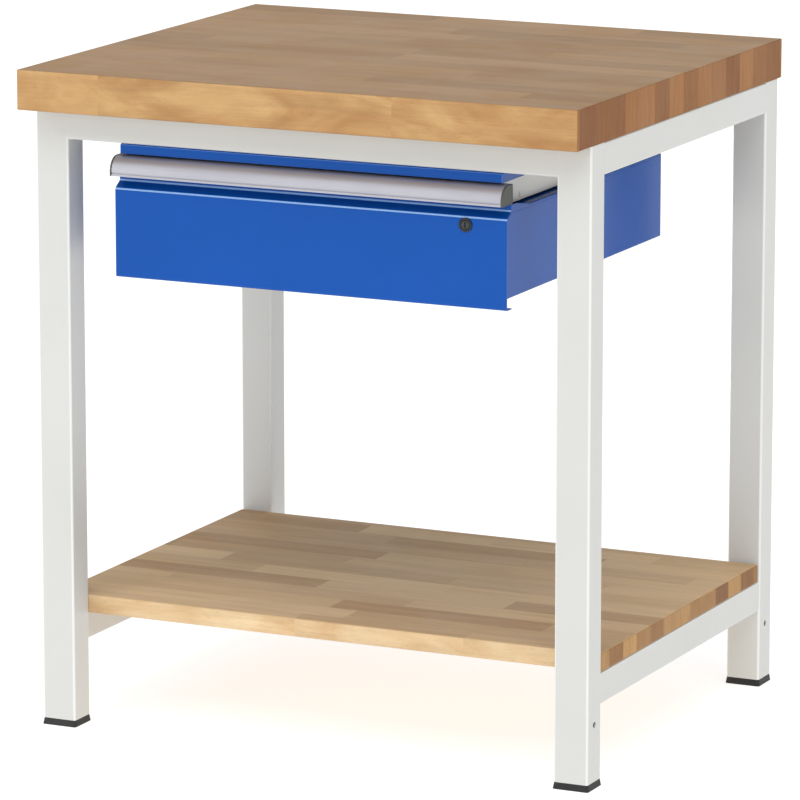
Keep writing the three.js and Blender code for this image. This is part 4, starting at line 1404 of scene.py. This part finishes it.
@dataclass
class DrawerBox:
    """The folded box: floor and sides from one sheet, a back, and hooks that reach up to the slides."""

    sheet: float = 1.2 * MM
    bend: float = 2.0 * MM
    side_height: float = 107.0 * MM
    hook_start: float = 62.5 * MM
    hook_edge: float = 4.0 * MM
    upright_front: float = 12.5 * MM
    slant_low: float = 96.0 * MM
    slant_high: float = 104.0 * MM
    ear_rise: float = 6.0 * MM
    ear_back: float = 26.5 * MM
    hook_gap: float = 0.3 * MM
    back_inset: float = 0.98
    back_edge: float = 0.3 * MM
    edge: float = 0.2 * MM

    def build(self) -> None:
        """Make the box as one joined piece."""
        low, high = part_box("drawer_box")
        hook_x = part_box("slide_drawer_right")[0].x
        parts = [self.trough(low, high), self.back_wall(low, high)]
        for side in Side:
            parts.append(self.hook(side, low, high, hook_x))
            parts.append(self.ear(side, low, high))
        dress(joined("folded_drawer_box", parts), BLUE_COAT, "drawer", "drawer_box")

    def trough(self, low: Vector, high: Vector) -> bpy.types.Object:
        """Floor and both sides, up to just under the hooks, with the front corners cut to the panel."""
        top = low.z + self.side_height - self.hook_edge
        path = [(high.x, top), (high.x, low.z), (low.x, low.z), (low.x, top)]
        trough = sheet_metal("trough", Axis.Y, (low.y, high.y), path, self.sheet, (-1, 0, 0), self.bend)
        front, slope = low.y, self.upright_front / (self.slant_high - self.slant_low)
        rise = self.side_height - self.slant_low
        upper = low.z + self.side_height
        corner = [(front - self.sheet, low.z + self.slant_low - self.sheet / slope),
                  (front - self.sheet, upper), (front + slope * rise, upper)]
        drill(trough, prism("corner_cutter", Axis.X, (low.x - MM, high.x + MM), corner))
        return soften(trough, self.edge, 1, 60)

    def back_wall(self, low: Vector, high: Vector) -> bpy.types.Object:
        """The back, set in by a little less than the sheet so that it bites into the sides."""
        inside = self.sheet * self.back_inset
        wall = block("back_wall", (low.x + inside, high.y - self.sheet, low.z + inside),
                     (high.x - inside, high.y, low.z + self.side_height - self.sheet))
        return soften(wall, self.back_edge, 2)

    def hook(self, side: Side, low: Vector, high: Vector, hook_x: float) -> bpy.types.Object:
        """A side's upper edge: folded inwards and then up beside the slide."""
        outer = high.x * side.value
        top = low.z + self.side_height
        inner = side.value * (hook_x - self.hook_gap)
        path = [(outer, top - self.hook_edge), (outer, top), (inner, top), (inner, high.z)]
        hook = sheet_metal("hook", Axis.Y, (low.y + self.hook_start, high.y), path, self.sheet,
                           (-side.value, 0, 0), self.bend)
        return soften(hook, self.edge, 1, 60)

    def ear(self, side: Side, low: Vector, high: Vector) -> bpy.types.Object:
        """The part of a side that rises behind the handle, in front of the hook."""
        base = low.z + self.side_height - self.hook_edge
        top = low.z + self.side_height
        front = low.y + self.upright_front
        slope = self.upright_front / (self.slant_high - self.slant_low)
        foot = low.y + slope * (base - low.z - self.slant_low)
        hook_front = low.y + self.hook_start
        peak = top + self.ear_rise
        outline = [(foot, base), (hook_front, base), (hook_front, top), (low.y + self.ear_back, peak),
                   (front, peak), (front, low.z + self.slant_high)]
        outer = high.x * side.value
        span = sorted((outer, outer - side.value * self.sheet))
        return soften(prism("ear", Axis.X, (span[0], span[1]), outline), self.edge, 1, 60)


@dataclass
class FrontPanel:
    """The front, folded from one sheet, with a slanted recess behind the handle."""

    sheet: float = 1.2 * MM
    bend: float = 2.4 * MM
    face_height: float = 111.0 * MM
    recess_depth: float = 12.5 * MM
    recess_rise: float = 8.0 * MM
    notch_clearance: float = 0.3 * MM
    edge: float = 0.2 * MM

    def build(self) -> None:
        """Fold the panel, notch its ends for the handle's caps and cut the lock's hole."""
        low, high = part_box("drawer_front")
        fold = low.z + self.face_height
        recess = low.y + self.recess_depth
        path = [(high.y, low.z), (low.y, low.z), (low.y, fold), (recess, fold + self.recess_rise),
                (recess, high.z)]
        panel = sheet_metal("folded_drawer_front", Axis.X, (low.x, high.x), path, self.sheet, (0, 0, 1),
                            self.bend)
        for side in Side:
            cap_low, cap_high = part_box(f"handle_cap_{side.label}")
            reach = (cap_high.x - cap_low.x) + self.notch_clearance
            edge = high.x * side.value
            ends = sorted((edge - side.value * reach, edge + side.value * reach))
            drill(panel, block("notch_cutter", (ends[0], low.y, cap_low.z - self.notch_clearance),
                               (ends[1], cap_high.y + self.sheet, high.z + self.sheet)))
        ring_low, ring_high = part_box("lock_housing")
        centre = (ring_low + ring_high) / 2
        radius = (ring_high.x - ring_low.x) / 2 - self.sheet / 2
        drill(panel, rod("lock_drill", Axis.Y, (centre.x, low.y, centre.z), radius, 4 * self.sheet, 48))
        soften(panel, self.edge, 2, 60)
        dress(panel, PANEL_COAT, "drawer", "drawer_front")


@dataclass
class Handle:
    """The aluminium grip along the top of the drawer, with a plastic cap at each end."""

    wall: float = 2.0 * MM
    leg: float = 2.5 * MM
    lip: float = 4.4 * MM
    groove_height: float = 1.7 * MM
    groove_depth: float = 1.6 * MM
    round_reach: float = 18.0 * MM
    round_steps: int = 22
    edge: float = 0.25 * MM
    cap_edge: float = 0.5 * MM
    cap_rim: float = 1.3 * MM
    cap_sink: float = 0.35 * MM

    def build(self) -> None:
        """Make the profile and its two caps."""
        self.profile()
        for side in Side:
            self.cap(side)

    def roof(self, low: Vector, high: Vector, wall: float) -> list[Pair]:
        """The curve from the top of the lip to the crown, as seen from the left, set in by a wall."""
        lip_top = low.z + self.lip
        centre = (low.y + self.round_reach, lip_top)
        radii = (self.round_reach - wall, high.z - lip_top - wall)
        return arc(centre, radii, 180, 90, self.round_steps)

    def profile(self) -> None:
        """The extruded grip: lip, groove, rounded roof and the leg that is screwed to the panel."""
        low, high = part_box("handle_profile")
        lip_top = low.z + self.lip
        groove = lip_top - self.groove_height
        outline = [(low.y, low.z), (low.y, groove), (low.y + self.groove_depth, groove),
                   (low.y + self.groove_depth, lip_top), *self.roof(low, high, 0), (high.y, high.z),
                   (high.y, low.z), (high.y - self.leg, low.z), (high.y - self.leg, high.z - self.wall),
                   *reversed(self.roof(low, high, self.wall)), (low.y + self.wall, low.z)]
        grip = prism("extruded_handle", Axis.X, (low.x, high.x), outline)
        soften(grip, self.edge, 2, 50)
        dress(grip, HANDLE_METAL, "drawer", "handle_profile")

    def cap(self, side: Side) -> None:
        """An end cap with a sunk field inside a raised rim."""
        node = f"handle_cap_{side.label}"
        low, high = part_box(node)
        outline = [(low.y, low.z), *self.roof(low, high, 0), (high.y, high.z), (high.y, low.z)]
        cap = prism(f"moulded_{node}", Axis.X, (low.x, high.x), outline)
        with editing(cap):
            pick(cap, "FACE", lambda face: face.normal.x * side.value > SQUARE_ON)
            bpy.ops.mesh.inset(thickness=self.cap_rim)
            push(Vector((-side.value * self.cap_sink, 0, 0)))
        soften(cap, self.cap_edge / 2, 3, 50)
        dress(cap, CAP_PLASTIC, "drawer", node)


@dataclass
class Lock:
    """The cam lock: ring and barrel, plug with its keyhole, nut, cam and the cam's screw."""

    ring_edge: float = 1.1 * MM
    ring_depth: float = 1.7 * MM
    barrel_radius: float = 8.0 * MM
    bore_radius: float = 6.0 * MM
    plug_radius: float = 5.75 * MM
    keyhole_width: float = 1.4 * MM
    keyhole_height: float = 7.5 * MM
    keyhole_depth: float = 9.0 * MM
    keyhole_round: float = 0.3
    dish_radius: float = 4.6 * MM
    dish: float = 0.35 * MM
    bore_edge: float = 0.4 * MM
    housing_edge: float = 0.15 * MM
    tail_half: float = 3.0 * MM
    tail_sink: float = 1.0 * MM
    tail_edge: float = 0.3 * MM
    nut_edge: float = 0.4 * MM
    cam_end: float = 5.0 * MM
    cam_hub: float = 7.0 * MM
    cam_edge: float = 0.3 * MM

    def build(self) -> None:
        """Make the ring, the plug, the nut and the cam of the lock; the cam's screw is made with the other
        screws.
        """
        low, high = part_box("lock_housing")
        axis = Vector(((low.x + high.x) / 2, 0, (low.z + high.z) / 2))
        self.housing(axis, low.y, high.y, (high.x - low.x) / 2)
        self.plug(axis)
        self.nut(axis)
        self.cam(axis)

    def housing(self, axis: Vector, front: float, rear: float, ring: float) -> None:
        """The domed ring on the panel's face and the barrel behind it."""
        back = front + self.ring_depth
        shoulder = (ring - self.ring_edge, front + self.ring_edge)
        crown = arc(shoulder, (self.ring_edge, self.ring_edge), -90, 0, 6)
        bore, barrel = self.bore_radius, self.barrel_radius
        profile = [(bore, rear), (bore, front + self.bore_edge), (bore + self.bore_edge, front), *crown,
                   (ring, back), (barrel, back), (barrel, rear), (bore, rear)]
        housing = turned("turned_lock_ring", Axis.Y, axis, profile, 64)
        soften(housing, self.housing_edge, 2, 60)
        dress(housing, LOCK_BLACK, "drawer", "lock_housing")

    def plug(self, axis: Vector) -> None:
        """The plug that the key turns, with a shallow dish and a keyhole in its face."""
        low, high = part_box("lock_cylinder")
        cam_low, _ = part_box("lock_cam")
        front, shoulder = low.y, cam_low.y
        sunk = front + self.dish
        profile = [(0, sunk), (self.dish_radius, sunk), (self.dish_radius + self.dish, front),
                   (self.plug_radius - self.dish, front), (self.plug_radius, sunk),
                   (self.plug_radius, shoulder), (0, shoulder)]
        plug = turned("turned_lock_plug", Axis.Y, axis, profile, 64)
        half = Vector((self.keyhole_width / 2, self.keyhole_depth, self.keyhole_height / 2))
        mouth = Vector((axis.x, front, axis.z))
        key_slot = block("keyhole_cutter", mouth - half, mouth + half)
        bevel_edges(key_slot, runs_along(Axis.Y), self.keyhole_width * self.keyhole_round, 3)
        drill(plug, key_slot)
        square = self.tail_half
        tail = block("tail", (axis.x - square, shoulder - self.tail_sink, axis.z - square),
                     (axis.x + square, high.y, axis.z + square))
        plug = joined(plug.name, [plug, soften(tail, self.tail_edge, 2)])
        dress(shade(plug), LOCK_METAL, "lock_plug", "lock_cylinder")

    def nut(self, axis: Vector) -> None:
        """The hexagonal nut that draws the ring against the panel."""
        low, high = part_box("lock_nut")
        centre = (axis.x, (low.y + high.y) / 2, axis.z)
        nut = rod("plated_lock_nut", Axis.Y, centre, (high.x - low.x) / 2, high.y - low.y, 6)
        drill(nut, rod("nut_drill", Axis.Y, centre, self.barrel_radius, 3 * (high.y - low.y), 48))
        soften(nut, self.nut_edge, 2)
        dress(nut, SCREW_ZINC, "drawer", "lock_nut")

    def cam(self, axis: Vector) -> None:
        """The lever that swings up behind the striker."""
        low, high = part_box("lock_cam")
        outline = [*arc((axis.x, axis.z), (self.cam_hub, self.cam_hub), -90, 90, 16),
                   *arc((low.x + self.cam_end, axis.z), (self.cam_end, self.cam_end), 90, 270, 12)]
        cam = prism("stamped_lock_cam", Axis.Y, (low.y, high.y), outline)
        soften(cam, self.cam_edge, 2)
        dress(cam, SCREW_ZINC, "lock_plug", "lock_cam")


# ------------------------------------------------------------------ fasteners


@dataclass
class ScrewSize:
    """The sizes of one kind of screw."""

    length: float
    shank: float = 2.5 * MM
    head: float = 4.5 * MM
    height: float = 3.0 * MM


@dataclass
class Fasteners:
    """Pan-head screws: each kind is turned once and copied to its places."""

    socket_share: float = 0.5
    socket_depth: float = 0.55
    steps: int = 28
    crown: float = 0.4
    rim: float = 0.45
    tip: float = 0.9
    edge: float = 0.12 * MM
    level_shank: float = 1.9 * MM
    level_head: float = 0.57
    kinds: dict[str, bpy.types.Object] = field(default_factory=dict)

    def build(self) -> None:
        """Place every screw of the bench."""
        for end, side in CORNERS:
            corner = f"{end.label}_{side.label}"
            for kind in ("worktop_screw", "shelf_screw", "cross_screw", "hanger_bolt"):
                self.upright(f"{kind}_{corner}", kind)
        for number in (1, 2, 3):
            self.level(f"handle_screw_{number}", "handle_screw", "drawer")
        self.level("lock_cam_screw", "lock_cam_screw", "lock_plug")
        for master in self.kinds.values():
            bpy.data.objects.remove(master, do_unlink=True)

    def master(self, kind: str, size: ScrewSize) -> bpy.types.Object:
        """The pattern of one kind of screw: along +Z, its head's bearing face at the origin."""
        if kind not in self.kinds:
            centre = (size.head * self.crown, -size.height * self.rim)
            dome = arc(centre, (size.head - centre[0], size.height + centre[1]), -90, 0, 6)
            tip = size.shank * self.tip
            profile = [(0, -size.height), *dome, (size.head, 0), (size.shank, 0),
                       (size.shank, size.length - tip), (0, size.length)]
            screw = turned(f"{kind}_pattern", Axis.Z, (0, 0, 0), profile, self.steps)
            depth = size.height * self.socket_depth
            radius = size.head * self.socket_share
            socket = rod("socket_cutter", Axis.Z, (0, 0, -size.height), radius, 2 * depth, 6)
            self.kinds[kind] = soften(drill(screw, socket), self.edge, 2, 50)
        return self.kinds[kind]

    def upright(self, node: str, kind: str) -> None:
        """A screw of the frame, which points up."""
        low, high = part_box(node)
        size = ScrewSize(high.z - low.z - ScrewSize.height)
        place = ((low.x + high.x) / 2, (low.y + high.y) / 2, low.z + size.height)
        screw = copy_to(self.master(kind, size), f"plated_{node}", place)
        dress(screw, SCREW_ZINC, "frame", node)

    def level(self, node: str, kind: str, body: str) -> None:
        """A screw that points towards the front."""
        low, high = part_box(node)
        head = (high.x - low.x) / 2
        height = head * self.level_head
        size = ScrewSize(high.y - low.y - height, self.level_shank, head, height)
        place = ((low.x + high.x) / 2, high.y - height, (low.z + high.z) / 2)
        screw = copy_to(self.master(kind, size), f"plated_{node}", place, (math.pi / 2, 0, 0))
        dress(screw, SCREW_ZINC, body, node)


# ------------------------------------------------------------------ studio


@dataclass
class Lamp:
    """One soft box: where it stands, what it looks at, its size and its power."""

    name: str
    place: Point
    aim: Point
    size: Pair
    power: float


@dataclass
class Studio:
    """A pale floor, soft light and the camera."""

    floor_reach: float = 60.0
    sky_colour: str = "#ffffff"
    sky_strength: float = 0.53
    sun_place: Point = (0.5, -1.3, 2.4)
    sun_strength: float = 1.2
    sun_spread: float = math.radians(50)
    azimuth: float = math.radians(25.32)
    elevation: float = math.radians(11.883)
    distance: float = 7.1395
    aim: Point = (-0.0077, -0.0023, 0.3978)
    lens: float = 253.985
    sensor: float = 36.0
    lamps: tuple[Lamp, ...] = (
        Lamp("front_softbox", (-2.4, -4.6, 1.8), (0, 0, 0.5), (1.2, 1.0), 21),
        Lamp("corner_strip", (3.7, -1.75, 1.3), (0, 0, 0.5), (0.25, 2.4), 6),
        Lamp("fold_strip", (-1.5, -3.2, 3.0), (0, 0, 0.7), (2.6, 0.2), 12),
    )

    def build(self) -> None:
        """Lay the floor, hang the lamps and stand the camera."""
        self.lay_floor()
        self.light_sky()
        self.raise_sun()
        for lamp in self.lamps:
            self.hang(lamp)
        self.stand_camera()
        bpy.context.scene.view_settings.view_transform = "Standard"

    def lay_floor(self) -> None:
        """A wide pale floor that isn't part of the bench."""
        let_go()
        bpy.ops.mesh.primitive_plane_add(size=2 * self.floor_reach)
        floor = bpy.context.object
        floor.name = "studio_floor"
        floor.data.materials.append(StudioFloor("studio_floor", "none").material())

    def light_sky(self) -> None:
        """An even white surround."""
        world = bpy.data.worlds.new("white_surround")
        bpy.context.scene.world = world
        world.use_nodes = True
        background = world.node_tree.nodes["Background"]
        background.inputs["Color"].default_value = colour(self.sky_colour)
        background.inputs["Strength"].default_value = self.sky_strength

    def raise_sun(self) -> None:
        """A broad, even light from above the user's head."""
        let_go()
        bpy.ops.object.light_add(type="SUN", location=self.sun_place)
        sun = bpy.context.object
        sun.name = "broad_ceiling_light"
        sun.data.energy = self.sun_strength
        sun.data.angle = self.sun_spread
        sun.rotation_euler = (-Vector(self.sun_place)).to_track_quat("-Z", "Y").to_euler()

    def hang(self, lamp: Lamp) -> None:
        """Hang one soft box and turn it to what it lights."""
        let_go()
        bpy.ops.object.light_add(type="AREA", location=lamp.place)
        light = bpy.context.object
        light.name = lamp.name
        light.data.shape = "RECTANGLE"
        light.data.size, light.data.size_y = lamp.size
        light.data.energy = lamp.power
        light.rotation_euler = (Vector(lamp.aim) - Vector(lamp.place)).to_track_quat("-Z", "Y").to_euler()

    def stand_camera(self) -> None:
        """Stand the camera well back, to the right of the bench and a little above its top."""
        let_go()
        flat = math.cos(self.elevation)
        back = Vector((math.sin(self.azimuth) * flat, -math.cos(self.azimuth) * flat,
                       math.sin(self.elevation)))
        bpy.ops.object.camera_add(location=Vector(self.aim) + back * self.distance)
        camera = bpy.context.object
        camera.name = "studio_camera"
        camera.rotation_euler = (-back).to_track_quat("-Z", "Y").to_euler()
        camera.data.lens, camera.data.sensor_width = self.lens, self.sensor
        camera.data.clip_end = 4 * self.floor_reach
        bpy.context.scene.camera = camera


def main() -> None:
    """Build every sub-assembly in order, then the studio."""
    logging.basicConfig(level=logging.INFO, format="%(name)s: %(message)s")
    for part in (Worktop(), Shelf(), TubeFrame(), Feet(), Suspension(), Slides(), DrawerBox(), FrontPanel(),
                 Handle(), Lock(), Fasteners(), Studio()):
        log.info("building %s", type(part).__name__)
        part.build()
    let_go()


if __name__ == "__main__":
    main()
